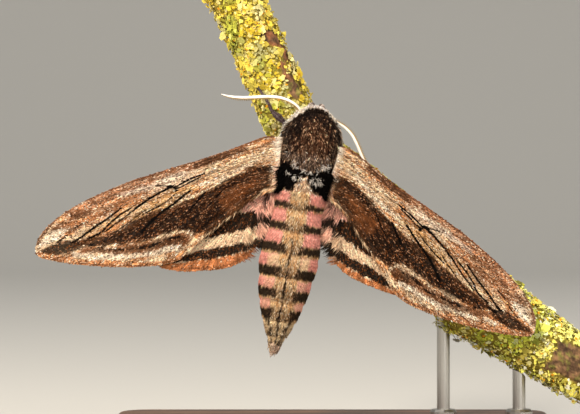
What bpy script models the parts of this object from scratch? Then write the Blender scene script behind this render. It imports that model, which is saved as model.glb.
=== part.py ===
"""A life-size privet hawk moth at rest, wings half spread, on a short lichened twig that a plain stand holds.

The moth is modelled in its own frame: +X to its right, +Y to its head, +Z out of its back, with the origin
in the middle of the thorax. One empty then stands it head up, back to -Y. The twig and the stand are
modelled in the world frame, +Z up, with the origin under the middle of the stand's base.
"""

import math
import random

import bmesh
import bpy
from mathutils import Matrix, Vector

MM = 0.001

# How the moth sits: its body leans from upright, and its middle stands this far in front of the twig.
BODY_LEAN = math.radians(9.2)
THORAX_MIDDLE = (-5.0, 55.7)
TWIG_DEPTH = 4.5
THORAX_OFF_TWIG = 13.0
TOUCH_GAP = 0.3

# Body, in millimetres. A section is: station along the body, half width, half height, middle x, middle z.
THORAX_SECTIONS = [
    (7.45, 1.5, 0.9, 0.30, 1.4),
    (7.0, 2.9, 1.9, 0.30, 1.3),
    (6.0, 4.0, 2.9, 0.30, 1.1),
    (4.5, 5.1, 3.9, 0.30, 0.8),
    (2.5, 5.8, 4.8, 0.30, 0.3),
    (0.0, 6.0, 5.2, 0.30, 0.0),
    (-3.0, 5.8, 5.1, 0.20, -0.1),
    (-6.0, 5.2, 4.8, 0.15, -0.1),
    (-7.8, 4.7, 4.4, 0.15, -0.1),
]
THORAX_RINGS = 13
THORAX_SIDES = 24
ABDOMEN_SECTIONS = [
    (-8.1, 4.5, 4.2, 0.15, -0.1),
    (-12.0, 4.8, 4.5, 0.05, -0.2),
    (-16.0, 5.1, 4.7, 0.0, -0.4),
    (-20.0, 5.6, 4.9, -0.2, -0.6),
    (-24.0, 5.2, 4.6, -0.25, -0.9),
    (-28.0, 4.5, 4.0, -0.30, -1.2),
    (-32.0, 3.3, 2.9, -0.25, -1.5),
    (-35.0, 2.0, 1.8, -0.25, -1.7),
    (-37.2, 0.95, 0.9, -0.3, -1.9),
    (-38.4, 0.3, 0.3, -0.4, -2.0),
]
SEGMENT_ENDS = [-8.1, -11.4, -15.2, -19.4, -23.8, -28.1, -31.8, -34.8, -38.4]
SEGMENT_STEP = 0.16
ABDOMEN_SIDES = 20

HEAD_MIDDLE = (0.3, 5.7, -2.4)
HEAD_HALF = (2.8, 2.7, 2.9)
EYE_RADIUS = 1.5
EYE_SIDE = 2.35
EYE_FORWARD = 0.35
EYE_DROP = 0.55
PALP_PATH = [(0.95, 6.9, -5.55), (1.05, 7.75, -5.6), (1.0, 8.35, -4.9), (0.85, 8.5, -4.0), (0.75, 8.4, -3.3)]
PALP_RADII = [0.35, 0.55, 0.6, 0.5, 0.22]
TONGUE_MIDDLE = (0.3, 6.6, -6.05)
TONGUE_RADIUS = 0.25
TONGUE_INNER = 0.2
TONGUE_PITCH = 0.62
TONGUE_TURNS = 1.1

ANTENNA_RADII = [(0.0, 0.25), (0.25, 0.31), (0.6, 0.34), (0.85, 0.28), (0.96, 0.14), (1.0, 0.05)]
ANTENNA_PATHS = {
    "left": [
        (-1.5, 6.7, -0.75), (-2.5, 7.1, -0.4), (-3.6, 7.9, 0.1), (-5.2, 8.5, 0.5), (-7.0, 8.72, 0.7),
        (-9.2, 8.5, 0.6), (-11.4, 8.05, 0.3), (-13.6, 7.65, 0.0), (-15.8, 7.5, -0.2), (-17.6, 7.7, -0.3),
    ],
    "right": [
        (2.1, 6.7, -0.75), (3.2, 6.45, -0.8), (4.6, 5.95, -0.9), (6.3, 5.2, -1.0), (7.8, 4.0, -1.1),
        (9.1, 2.2, -1.3), (10.1, 0.6, -1.5), (11.3, -1.1, -1.7), (12.9, -2.9, -1.8), (14.6, -4.3, -1.8),
    ],
}

# Wings. Their plan is in the moth's frame, as (out from the body, towards the head).
WING_THICKNESS = 0.5
WING_ROOT_HEIGHT = 1.9
WING_AXIS_START = (6.0, -2.5)
WING_AXIS_END = (46.6, -26.5)
WING_DROOP = 0.145
WING_ROOF = 0.07
WING_CAMBER = 0.004
HINDWING_DROP = 1.15
# The right hindwing is tucked this much further forward than the left one.
HINDWING_TUCK = {"left": 0.0, "right": 2.1}
VEIN_HALF_WIDTH = 0.32
VEIN_HEIGHT = 0.2
VEIN_FADE = 0.12
# The tips droop away from the camera, so the plan is spread by this share for each millimetre outwards.
WING_SPREAD = 0.0004

# Each vein: station on the body side where it starts, share of its length where its ridge starts, and its
# points from there to the margin. The first and the last line are the wing's front and inner edges.
FOREWING_ROWS = 16
FOREWING_LINES = [
    (1.5, None, [(8.0, 1.2), (12.0, -1.0), (16.0, -3.25), (20.0, -5.3), (24.0, -7.2), (28.0, -9.25)]),
    (0.7, 0.0, [(12.0, -2.0), (20.0, -6.4), (27.0, -9.9)]),
    (-0.1, 0.3, [(12.0, -2.9), (20.0, -7.5), (29.0, -12.0)]),
    (-1.0, 0.4, [(12.0, -3.8), (20.0, -8.6), (30.0, -14.3), (38.0, -18.4)]),
    (-1.8, 0.0, [(12.0, -4.6), (20.0, -9.5), (30.0, -15.6), (38.0, -20.4)]),
    (-2.6, 0.42, [(12.0, -5.3), (20.0, -10.4), (30.0, -17.2), (38.0, -22.8)]),
    (-3.4, 0.42, [(12.0, -6.1), (20.0, -11.5), (28.0, -17.5), (35.0, -23.3)]),
    (-4.2, 0.42, [(12.0, -7.0), (19.0, -12.2), (26.0, -18.2), (32.0, -24.2)]),
    (-5.0, 0.0, [(12.0, -7.9), (18.0, -13.0), (24.0, -19.0), (28.5, -24.3)]),
    (-5.9, 0.25, [(11.5, -8.9), (17.0, -14.0), (22.0, -19.8), (25.2, -24.2)]),
    (-6.7, 0.0, [(11.0, -10.2), (15.5, -15.2), (19.5, -20.2), (22.0, -24.0)]),
    (-7.5, None, [(8.0, -9.8), (12.0, -14.2), (16.0, -18.5), (18.8, -22.3)]),
]
FOREWING_MARGIN = [
    (30.0, -10.2), (33.0, -12.0), (36.0, -14.0), (39.0, -15.95), (41.2, -17.5), (43.0, -19.4), (44.5, -21.4),
    (45.9, -23.4), (46.8, -25.1), (47.1, -26.5), (46.4, -27.3), (44.3, -27.8), (41.2, -28.0), (37.0, -27.8),
    (33.0, -27.4), (29.0, -26.75), (25.5, -26.0), (23.0, -25.3), (21.3, -24.65), (20.2, -23.9),
]
# Share of the margin's length at which each line ends.
FOREWING_ENDS = [0.0, 0.07, 0.19, 0.31, 0.41, 0.49, 0.57, 0.67, 0.77, 0.85, 0.94, 1.0]

HINDWING_ROWS = 11
HINDWING_LINES = [
    (-4.6, None, [(12.0, -10.0), (18.0, -15.2), (22.5, -19.4)]),
    (-5.0, 0.0, [(11.0, -10.4), (17.0, -16.0), (22.0, -21.2)]),
    (-5.5, 0.35, [(10.5, -11.0), (15.5, -17.0), (20.0, -22.3)]),
    (-5.9, 0.0, [(10.0, -11.6), (14.0, -17.6), (17.5, -22.8)]),
    (-6.4, 0.35, [(9.4, -12.2), (12.4, -17.8), (14.8, -22.5)]),
    (-6.8, 0.0, [(8.6, -12.6), (10.6, -17.6), (12.0, -22.0)]),
    (-7.2, 0.0, [(7.6, -12.6), (8.6, -17.0), (9.0, -20.4)]),
    (-7.6, None, [(5.5, -11.0), (5.65, -14.5), (5.85, -16.8)]),
]
HINDWING_MARGIN = [
    (24.3, -21.2), (25.6, -23.2), (25.6, -24.9), (24.2, -25.6), (22.0, -26.0), (20.0, -26.0), (17.5, -25.6),
    (15.0, -25.0), (12.3, -24.3), (10.2, -23.3), (8.6, -22.0), (7.4, -20.6), (6.5, -19.4), (6.0, -18.2),
]
HINDWING_ENDS = [0.0, 0.11, 0.24, 0.39, 0.54, 0.69, 0.83, 1.0]

# Legs. Hips are (side, station) under the thorax. Feet are (millimetres along the twig, degrees round it
# from the front, positive towards the upper right).
LEG_SIDES = 8
FEMUR_RADIUS = 0.72
TIBIA_RADIUS = 0.62
TARSUS_RADIUS = 0.31
CLAW_LENGTH = 0.75
SPUR_LENGTH = 1.5
LEGS = {
    "leg_front_left": {"hip": (-1.9, 3.2), "bend": (-3.5, 3.0, -6.1), "knee": (-5.2, 4.6, -5.9),
                       "foot": [(29.1, -23), (26.4, -25), (23.9, -30)], "spurs": 0},
    "leg_front_right": {"hip": (2.3, 3.2), "bend": (4.3, 2.6, -6.1), "knee": (5.0, 4.2, -7.4),
                        "foot": [(38.4, 42), (36.8, 55), (35.2, 68)], "spurs": 0},
    "leg_mid_left": {"hip": (-2.3, -0.2), "bend": (-4.4, -0.9, -6.6), "knee": (-5.2, -2.0, -8.8),
                     "foot": [(38.5, -68), (40.0, -82), (42.0, -96)], "spurs": 1},
    "leg_mid_right": {"hip": (2.7, -0.2), "bend": (4.9, -1.0, -5.9), "knee": (7.4, -1.6, -5.9),
                      "foot": [(47.4, 24), (49.4, 32), (51.6, 38)], "spurs": 1},
    "leg_hind_left": {"hip": (-2.0, -3.4), "bend": (-1.9, -5.6, -6.8), "knee": (-1.4, -8.0, -8.2),
                      "foot": [(44.5, -58), (47.5, -67), (50.7, -75)], "spurs": 2},
    "leg_hind_right": {"hip": (2.6, -3.4), "bend": (5.2, -4.4, -5.9), "knee": (9.4, -5.4, -5.8),
                       "foot": [(52.6, 12), (55.8, 22), (59.0, 30)], "spurs": 2},
}

# Twig: middle line in world (across, up) with its depth, and radius with the lichen crust, top to bottom.
TWIG_PATH = [
    (-21.9, 90.2, 4.5, 5.1), (-17.8, 82.7, 4.5, 5.2), (-13.6, 74.0, 4.5, 5.3), (-9.8, 65.4, 4.5, 5.5),
    (-7.4, 59.9, 4.5, 5.6), (-3.6, 55.5, 4.5, 5.5), (3.1, 50.1, 4.5, 5.4), (13.0, 41.9, 4.7, 5.6),
    (20.7, 35.1, 5.1, 6.2), (28.5, 27.3, 5.4, 7.0), (34.4, 22.4, 5.5, 7.1), (41.1, 18.0, 5.5, 6.4),
    (47.0, 14.5, 5.5, 6.1), (53.0, 11.2, 5.5, 6.0),
]
TWIG_CUT = (1.6, 109.6)
TWIG_SIDES = 16
TWIG_RING_SPACING = 2.6
LICHEN_LUMPS = 46
LICHEN_HEIGHT = 0.55
LICHEN_REACH = 3.0
LICHEN_SEED = 11

BASE_SIZE = (84.0, 46.0, 5.0)
BASE_CORNER_RADIUS = 6.0
BASE_EDGE_RADIUS = 0.8
ROD_RADIUS = 1.25
ROD_FOOT_RADIUS = 2.6
ROD_FOOT_HEIGHT = 1.2
ROD_PLACES = {"stand_rod_inner": 21.0, "stand_rod_outer": 35.5}
ROD_SIDES = 16

COLOURS = {
    "thorax_fur": ((0.045, 0.032, 0.026), 0.85, 0.0),
    "abdomen_fur": ((0.62, 0.27, 0.22), 0.8, 0.0),
    "wing_scales": ((0.36, 0.22, 0.13), 0.7, 0.0),
    "head_fur": ((0.35, 0.27, 0.25), 0.85, 0.0),
    "eye": ((0.02, 0.012, 0.01), 0.15, 0.0),
    "antenna_white": ((0.85, 0.82, 0.76), 0.6, 0.0),
    "leg_fur": ((0.10, 0.06, 0.06), 0.75, 0.0),
    "tongue": ((0.16, 0.08, 0.04), 0.35, 0.0),
    "lichened_bark": ((0.45, 0.42, 0.10), 0.9, 0.0),
    "oiled_walnut": ((0.12, 0.06, 0.03), 0.45, 0.0),
    "brushed_steel": ((0.6, 0.6, 0.6), 0.3, 1.0),
}


def clear_scene():
    """Empties the scene that the script starts in."""
    for old in list(bpy.data.objects):
        bpy.data.objects.remove(old)


def material(name):
    """A plain Principled material of the named finish."""
    found = bpy.data.materials.get(name)
    if found:
        return found
    colour, roughness, metallic = COLOURS[name]
    made = bpy.data.materials.new(name)
    made.use_nodes = True
    shader = made.node_tree.nodes["Principled BSDF"]
    shader.inputs["Base Color"].default_value = (*colour, 1.0)
    shader.inputs["Roughness"].default_value = roughness
    shader.inputs["Metallic"].default_value = metallic
    return made


def object_from(name, bm, finish, parent=None):
    """Turns a bmesh in millimetres into a named object in metres."""
    bmesh.ops.recalc_face_normals(bm, faces=bm.faces)
    bmesh.ops.scale(bm, vec=(MM, MM, MM), verts=bm.verts)
    mesh = bpy.data.meshes.new(name)
    bm.to_mesh(mesh)
    bm.free()
    mesh.shade_smooth()
    mesh.set_sharp_from_angle(angle=math.radians(40))
    made = bpy.data.objects.new(name, mesh)
    made.data.materials.append(material(finish))
    bpy.context.collection.objects.link(made)
    made.parent = parent
    return made


def curve_through(points, share):
    """The point at a share, 0 to 1, of a smooth curve through points of any dimension, by chord length."""
    steps = [math.dist(a, b) for a, b in zip(points, points[1:])]
    target = min(max(share, 0.0), 1.0) * sum(steps)
    index = 0
    while index < len(steps) - 1 and target > steps[index]:
        target -= steps[index]
        index += 1
    t = min(target / steps[index], 1.0)
    before = points[max(index - 1, 0)]
    start, end = points[index], points[index + 1]
    after = points[min(index + 2, len(points) - 1)]
    back = steps[max(index - 1, 0)] + steps[index]
    ahead = steps[index] + steps[min(index + 1, len(steps) - 1)]
    result = []
    for p, a, b, q in zip(before, start, end, after):
        slope_in = (b - p) / back * steps[index]
        slope_out = (q - a) / ahead * steps[index]
        result.append(
            (2 * t**3 - 3 * t**2 + 1) * a + (t**3 - 2 * t**2 + t) * slope_in
            + (3 * t**2 - 2 * t**3) * b + (t**3 - t**2) * slope_out
        )
    return result


def length_of(points):
    """Chord length of a list of points."""
    return sum(math.dist(a, b) for a, b in zip(points, points[1:]))


def section_at(sections, station):
    """Half width, half height and middle (x, z) of a body at a station, by smooth interpolation."""
    for (a, b), near in zip(zip(sections, sections[1:]), range(len(sections))):
        if a[0] >= station >= b[0]:
            t = (a[0] - station) / (a[0] - b[0])
            before = sections[max(near - 1, 0)]
            after = sections[min(near + 2, len(sections) - 1)]
            return [
                0.5 * (2 * p1 + (p2 - p0) * t + (2 * p0 - 5 * p1 + 4 * p2 - p3) * t**2
                       + (3 * p1 - p0 - 3 * p2 + p3) * t**3)
                for p0, p1, p2, p3 in zip(before[1:], a[1:], b[1:], after[1:])
            ]
    ends = sections[0] if station > sections[0][0] else sections[-1]
    return list(ends[1:])


def side_of_thorax(side, station, height):
    """How far out the thorax's side stands at a station and height, on the named side of the moth."""
    half_width, half_height, middle_x, middle_z = section_at(THORAX_SECTIONS, station)
    share = min(abs(height - middle_z) / half_height, 0.99)
    return half_width * math.sqrt(1 - share**2) + side * middle_x


def underside_of_thorax(across, station):
    """The height of the thorax's underside at a place."""
    half_width, half_height, middle_x, middle_z = section_at(THORAX_SECTIONS, station)
    share = min(abs(across - middle_x) / half_width, 0.95)
    return middle_z - half_height * math.sqrt(1 - share**2)


def loft(bm, rings):
    """Skins rings of equal count and closes both ends with fans. A ring of one point is a tip."""
    made = [[bm.verts.new(p) for p in ring] for ring in rings]
    for first, second in zip(made, made[1:]):
        count = max(len(first), len(second))
        for i in range(count):
            j = (i + 1) % count
            if len(first) == 1:
                bm.faces.new((first[0], second[i], second[j]))
            elif len(second) == 1:
                bm.faces.new((first[i], first[j], second[0]))
            else:
                bm.faces.new((first[i], first[j], second[j], second[i]))
    for ring in (made[0], made[-1]):
        if len(ring) > 1:
            middle = bm.verts.new(sum((v.co for v in ring), Vector()) / len(ring))
            for a, b in zip(ring, ring[1:] + ring[:1]):
                bm.faces.new((a, b, middle))


def body_ring(station, half_width, half_height, middle_x, middle_z, sides):
    """One oval ring across the body."""
    turns = [2 * math.pi * i / sides for i in range(sides)]
    return [
        (middle_x + half_width * math.cos(turn), station, middle_z + half_height * math.sin(turn))
        for turn in turns
    ]


def tube_rings(path, radii, sides):
    """Rings round a path of points, one radius for each point, turned without twist."""
    points = [Vector(p) for p in path]
    tangents = []
    for i in range(len(points)):
        tangents.append((points[min(i + 1, len(points) - 1)] - points[max(i - 1, 0)]).normalized())
    normal = tangents[0].orthogonal().normalized()
    rings = []
    for point, tangent, radius in zip(points, tangents, radii):
        normal = (normal - tangent * normal.dot(tangent)).normalized()
        across = tangent.cross(normal)
        turns = [2 * math.pi * i / sides for i in range(sides)]
        rings.append([point + radius * (math.cos(t) * normal + math.sin(t) * across) for t in turns])
    return rings


def tube(bm, path, radii, sides):
    """A closed tube along a path."""
    loft(bm, tube_rings(path, radii, sides))


def ellipsoid(name, middle, half, finish, parent, segments=20, rings=12, grow=0.0):
    """An ellipsoid about a middle, its poles along the body, grown by a margin."""
    bm = bmesh.new()
    bmesh.ops.create_uvsphere(bm, u_segments=segments, v_segments=rings, radius=1.0)
    bmesh.ops.rotate(bm, verts=bm.verts, matrix=Matrix.Rotation(math.pi / 2, 3, "X"))
    bmesh.ops.scale(bm, verts=bm.verts, vec=[h + grow for h in half])
    bmesh.ops.translate(bm, verts=bm.verts, vec=middle)
    return object_from(name, bm, finish, parent)


def cut_away(target, cutter, operation="DIFFERENCE"):
    """Applies an exact Boolean to the target and removes the cutter."""
    bpy.context.view_layer.update()
    modifier = target.modifiers.new("cut", "BOOLEAN")
    modifier.operation = operation
    modifier.object = cutter
    modifier.solver = "EXACT"
    bpy.context.view_layer.objects.active = target
    bpy.ops.object.modifier_apply(modifier=modifier.name)
    bpy.data.objects.remove(cutter)


def join_pieces(name, pieces, finish, parent):
    """Unites closed meshes, made by functions that fill a bmesh, into one object by a Boolean union."""
    collection = bpy.data.collections.new(name + "_pieces")
    bpy.context.scene.collection.children.link(collection)
    made = []
    for index, fill in enumerate(pieces):
        bm = bmesh.new()
        fill(bm)
        made.append(object_from(f"{name}_{index}", bm, finish, parent))
    core = made[0]
    for piece in made[1:]:
        bpy.context.collection.objects.unlink(piece)
        collection.objects.link(piece)
    bpy.context.view_layer.update()
    modifier = core.modifiers.new("union", "BOOLEAN")
    modifier.operation = "UNION"
    modifier.operand_type = "COLLECTION"
    modifier.collection = collection
    modifier.solver = "EXACT"
    bpy.context.view_layer.objects.active = core
    bpy.ops.object.modifier_apply(modifier=modifier.name)
    for piece in made[1:]:
        bpy.data.objects.remove(piece)
    bpy.data.collections.remove(collection)
    keep_largest(core)
    core.name = core.data.name = name
    return core


def keep_largest(target):
    """Keeps only the largest closed surface of an object."""
    bm = bmesh.new()
    bm.from_mesh(target.data)
    unseen = set(bm.verts)
    shells = []
    while unseen:
        stack = [unseen.pop()]
        shell = {stack[0]}
        while stack:
            for edge in stack.pop().link_edges:
                for vert in edge.verts:
                    if vert in unseen:
                        unseen.discard(vert)
                        shell.add(vert)
                        stack.append(vert)
        shells.append(shell)
    shells.sort(key=len, reverse=True)
    for shell in shells[1:]:
        bmesh.ops.delete(bm, geom=list(shell), context="VERTS")
    bm.to_mesh(target.data)
    bm.free()


def make_pose():
    """The empty that stands the moth head up on the twig, back to -Y."""
    pose = bpy.data.objects.new("moth_pose", None)
    bpy.context.collection.objects.link(pose)
    lean, upright = math.sin(BODY_LEAN), math.cos(BODY_LEAN)
    turn = Matrix(((upright, lean, 0), (0, 0, -1), (-lean, upright, 0)))
    place = Vector((THORAX_MIDDLE[0], TWIG_DEPTH - THORAX_OFF_TWIG, THORAX_MIDDLE[1]))
    pose.matrix_world = Matrix.Translation(place * MM) @ turn.to_4x4()
    return pose


def world_to_moth(point):
    """A world point, in millimetres, in the moth's frame."""
    lean, upright = math.sin(BODY_LEAN), math.cos(BODY_LEAN)
    x = point[0] - THORAX_MIDDLE[0]
    y = point[1] - (TWIG_DEPTH - THORAX_OFF_TWIG)
    z = point[2] - THORAX_MIDDLE[1]
    return Vector((x * upright - z * lean, x * lean + z * upright, -y))


def make_thorax(pose):
    """The thorax, an oval barrel that narrows over the head."""
    first, last = THORAX_SECTIONS[0][0], THORAX_SECTIONS[-1][0]
    bm = bmesh.new()
    rings = []
    for i in range(THORAX_RINGS):
        share = i / (THORAX_RINGS - 1)
        station = first + (last - first) * share**1.5
        rings.append(body_ring(station, *section_at(THORAX_SECTIONS, station), THORAX_SIDES))
    loft(bm, rings)
    return object_from("thorax", bm, "thorax_fur", pose)


def thorax_cutter(pose):
    """The thorax grown by the touching gap, to cut its neighbours clear."""
    bm = bmesh.new()
    rings = []
    for station, half_width, half_height, middle_x, middle_z in THORAX_SECTIONS:
        grown = station + (TOUCH_GAP if station == THORAX_SECTIONS[0][0] else 0.0)
        rings.append(
            body_ring(grown, half_width + TOUCH_GAP, half_height + TOUCH_GAP, middle_x, middle_z, THORAX_SIDES)
        )
    loft(bm, rings)
    return object_from("thorax_cutter", bm, "thorax_fur", pose)


def make_abdomen(pose):
    """The abdomen, a pointed cone of overlapping segments, each a little wider at its rear edge."""
    bm = bmesh.new()
    rings = []
    for start, end in zip(SEGMENT_ENDS, SEGMENT_ENDS[1:]):
        span = start - end
        last = end == SEGMENT_ENDS[-1]
        for share, swell in ((0.0, 0.0), (0.3, 0.5), (0.65, 1.0), (0.93, 1.0)):
            station = start - span * share
            half_width, half_height, middle_x, middle_z = section_at(ABDOMEN_SECTIONS, station)
            fade = min(1.0, half_width / 3.0)
            extra = 0.0 if last else SEGMENT_STEP * swell * fade
            rings.append(
                body_ring(station, half_width + extra, half_height + extra, middle_x, middle_z, ABDOMEN_SIDES)
            )
    station, *tip = ABDOMEN_SECTIONS[-1]
    rings.append(body_ring(station, *tip, ABDOMEN_SIDES))
    loft(bm, rings)
    return object_from("abdomen", bm, "abdomen_fur", pose)


def make_head(pose):
    """The head, bent down under the front of the thorax, with sockets for the eyes."""
    head = ellipsoid("head", HEAD_MIDDLE, HEAD_HALF, "head_fur", pose)
    cut_away(head, thorax_cutter(pose))
    for side in (-1, 1):
        middle = eye_middle(side)
        cut_away(head, ellipsoid("socket", middle, (EYE_RADIUS,) * 3, "eye", pose, grow=TOUCH_GAP))
    keep_largest(head)
    return head


def eye_middle(side):
    """The middle of an eye."""
    return (HEAD_MIDDLE[0] + side * EYE_SIDE, HEAD_MIDDLE[1] + EYE_FORWARD, HEAD_MIDDLE[2] - EYE_DROP)


def make_eyes(pose):
    """The two round compound eyes, cut clear of the thorax above them."""
    for name, side in (("eye_left", -1), ("eye_right", 1)):
        eye = ellipsoid(name, eye_middle(side), (EYE_RADIUS,) * 3, "eye", pose, segments=16, rings=10)
        cut_away(eye, thorax_cutter(pose))


def make_palps(pose):
    """The pair of furry palps that curve up in front of the face."""
    for name, side in (("palp_left", -1), ("palp_right", 1)):
        path = [(HEAD_MIDDLE[0] + side * x, y, z) for x, y, z in PALP_PATH]
        samples = [i / 8 for i in range(9)]
        bm = bmesh.new()
        tube(bm, [curve_through(path, s) for s in samples], [radius_at(PALP_RADII, s) for s in samples], 10)
        palp = object_from(name, bm, "head_fur", pose)
        head = ellipsoid("head_cutter", HEAD_MIDDLE, HEAD_HALF, "head_fur", pose, grow=TOUCH_GAP)
        cut_away(palp, head)
        keep_largest(palp)


def radius_at(radii, share):
    """Radius from an evenly spaced list, by straight interpolation."""
    place = share * (len(radii) - 1)
    index = min(int(place), len(radii) - 2)
    return radii[index] + (radii[index + 1] - radii[index]) * (place - index)


def make_tongue(pose):
    """The tongue, rolled into a flat coil under the head."""
    steps = 26
    path = []
    for i in range(steps + 1):
        turn = 2 * math.pi * TONGUE_TURNS * i / steps
        reach = TONGUE_INNER + TONGUE_RADIUS + TONGUE_PITCH * turn / (2 * math.pi)
        x, y, z = TONGUE_MIDDLE
        path.append((x, y + reach * math.cos(turn), z + reach * math.sin(turn)))
    bm = bmesh.new()
    tube(bm, path, [TONGUE_RADIUS] * len(path), 8)
    object_from("tongue", bm, "tongue", pose)


def make_antennae(pose):
    """The two white feelers, thickest past the middle and pointed at the end."""
    for side, path in ANTENNA_PATHS.items():
        samples = [i / 22 for i in range(23)]
        radii = []
        for s in samples:
            for (s0, r0), (s1, r1) in zip(ANTENNA_RADII, ANTENNA_RADII[1:]):
                if s0 <= s <= s1:
                    radii.append(r0 + (r1 - r0) * (s - s0) / (s1 - s0))
                    break
        bm = bmesh.new()
        tube(bm, [curve_through(path, s) for s in samples], radii, 8)
        antenna = object_from(f"antenna_{side}", bm, "antenna_white", pose)
        cut_away(antenna, thorax_cutter(pose))
        head = ellipsoid("head_cutter", HEAD_MIDDLE, HEAD_HALF, "head_fur", pose, grow=TOUCH_GAP)
        cut_away(antenna, head)
        keep_largest(antenna)


def wing_height(out, ahead):
    """Height of the forewing's middle surface at a place of its plan."""
    run = (WING_AXIS_END[0] - WING_AXIS_START[0], WING_AXIS_END[1] - WING_AXIS_START[1])
    length = math.hypot(*run)
    along_x, along_y = run[0] / length, run[1] / length
    dx, dy = out - WING_AXIS_START[0], ahead - WING_AXIS_START[1]
    along = dx * along_x + dy * along_y
    forward = -dx * along_y + dy * along_x
    return WING_ROOT_HEIGHT - WING_DROOP * along - WING_ROOF * forward - WING_CAMBER * forward**2


def spread_out(point):
    """A place of the wing's plan as measured, spread to its true distance from the body."""
    out, ahead = point
    return out * (1 + WING_SPREAD * out), ahead


def wing_columns(lines, margin, ends, rows, side, drop, tuck):
    """The wing's grid: for each row a list of (out, ahead, ridge), three columns to each vein."""
    traced = []
    for (station, ridge_start, points), end in zip(lines, ends):
        station = station + tuck * 0.5
        points = [spread_out((x, y + tuck)) for x, y in points]
        height = wing_height(6.0, station) - drop
        root = (side_of_thorax(side, station, height) + TOUCH_GAP, station)
        tip_x, tip_y = spread_out(curve_through(margin, end))
        full = [root, *points, (tip_x, tip_y + tuck)]
        traced.append(([curve_through(full, i / rows) for i in range(rows + 1)], ridge_start))
    grid = []
    for i in range(rows + 1):
        row = []
        for j, (line, ridge_start) in enumerate(traced):
            here = line[i]
            if ridge_start is None:
                row.append((*here, 0.0))
                continue
            rise = min(max((i / rows - ridge_start) / VEIN_FADE + 0.2, 0.0), 1.0)
            taper = 1.0 - 0.6 * (i / rows) ** 3
            before, after = traced[j - 1][0][i], traced[j + 1][0][i]
            for near, height in ((before, 0.0), (None, VEIN_HEIGHT * rise * taper), (after, 0.0)):
                if near is None:
                    row.append((*here, height))
                    continue
                share = min(0.3, VEIN_HALF_WIDTH / max(math.dist(here, near), 1e-6))
                row.append((here[0] + (near[0] - here[0]) * share, here[1] + (near[1] - here[1]) * share, 0.0))
        grid.append(row)
    return grid


def make_wing(name, grid, side, drop, pose):
    """A thin closed plate on a wing's grid, with the veins raised on both faces."""
    bm = bmesh.new()
    faces = []
    for up in (1, -1):
        half = []
        for row in grid:
            half.append([
                bm.verts.new((side * out, ahead, wing_height(out, ahead) - drop
                              + up * (WING_THICKNESS / 2 + ridge)))
                for out, ahead, ridge in row
            ])
        faces.append(half)
    top, bottom = faces
    for sheet in faces:
        for first, second in zip(sheet, sheet[1:]):
            for j in range(len(first) - 1):
                bm.faces.new((first[j], first[j + 1], second[j + 1]))
                bm.faces.new((first[j], second[j + 1], second[j]))
    border_top = outline_of(top)
    border_bottom = outline_of(bottom)
    count = len(border_top)
    for i in range(count):
        j = (i + 1) % count
        bm.faces.new((border_top[i], border_top[j], border_bottom[j]))
        bm.faces.new((border_top[i], border_bottom[j], border_bottom[i]))
    object_from(name, bm, "wing_scales", pose)


def outline_of(sheet):
    """The border of a grid of vertices, in order."""
    first, last = sheet[0], sheet[-1]
    right = [row[-1] for row in sheet[1:-1]]
    left = [row[0] for row in sheet[1:-1]]
    return first + right + last[::-1] + left[::-1]


def make_wings(pose):
    """The four wings."""
    for label, side in (("left", -1), ("right", 1)):
        grid = wing_columns(FOREWING_LINES, FOREWING_MARGIN, FOREWING_ENDS, FOREWING_ROWS, side, 0.0, 0.0)
        make_wing(f"forewing_{label}", grid, side, 0.0, pose)
        grid = wing_columns(HINDWING_LINES, HINDWING_MARGIN, HINDWING_ENDS, HINDWING_ROWS, side,
                            HINDWING_DROP, HINDWING_TUCK[label])
        make_wing(f"hindwing_{label}", grid, side, HINDWING_DROP, pose)


def twig_middle(along):
    """World middle (x, y, z), radius and direction of the twig, so many millimetres from its top."""
    plan = [(x, y, z, r) for x, z, y, r in TWIG_PATH]
    whole = length_of(plan)
    x, y, z, radius = curve_through(plan, along / whole)
    ahead = curve_through(plan, (along + 0.5) / whole)
    behind = curve_through(plan, (along - 0.5) / whole)
    direction = Vector([a - b for a, b in zip(ahead[:3], behind[:3])]).normalized()
    return Vector((x, y, z)), radius, direction


def lichen_lumps():
    """The places of the raised lichen cushions: (millimetres along, angle, height), spread by a seeded draw."""
    draw = random.Random(LICHEN_SEED)
    first, last = TWIG_CUT
    lumps = []
    for i in range(LICHEN_LUMPS):
        along = first + (last - first) * (i + draw.random()) / LICHEN_LUMPS
        lumps.append((along, draw.uniform(-math.pi, math.pi), LICHEN_HEIGHT * draw.uniform(0.4, 1.0)))
    return lumps


LUMPS = lichen_lumps()


def twig_radius(along, angle, radius):
    """Distance of the twig's surface from its middle line, with the swellings of bark and lichen."""
    wave = 0.022 * math.sin(2 * angle + along * 0.11) + 0.018 * math.sin(3 * angle - along * 0.23 + 1.3)
    result = radius * (0.97 + wave)
    for place, turn, height in LUMPS:
        away = (along - place) / LICHEN_REACH
        if abs(away) > 2.5:
            continue
        apart = (angle - turn + math.pi) % (2 * math.pi) - math.pi
        across = apart * radius / LICHEN_REACH
        result += height * math.exp(-(away**2 + across**2))
    return result


def twig_point(along, angle, lift=0.0):
    """World point on the twig's surface, raised by a lift. Angle 0 faces the moth, +90 degrees the upper right."""
    middle, radius, direction = twig_middle(along)
    front = Vector((0.0, -1.0, 0.0))
    front = (front - direction * front.dot(direction)).normalized()
    aside = front.cross(direction)
    if aside.x < 0:
        aside = -aside
    reach = twig_radius(along, angle, radius) + lift
    return middle + reach * (math.cos(angle) * front + math.sin(angle) * aside)


def twig_mesh(bm, grow):
    """The twig's skin, grown by a margin, with flat cut ends."""
    first, last = TWIG_CUT
    rings = int((last - first) / TWIG_RING_SPACING)
    skin = []
    for i in range(rings + 1):
        along = first + (last - first) * i / rings
        skin.append([
            twig_point(along, 2 * math.pi * k / TWIG_SIDES, grow) for k in range(TWIG_SIDES)
        ])
    loft(bm, skin)


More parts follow.
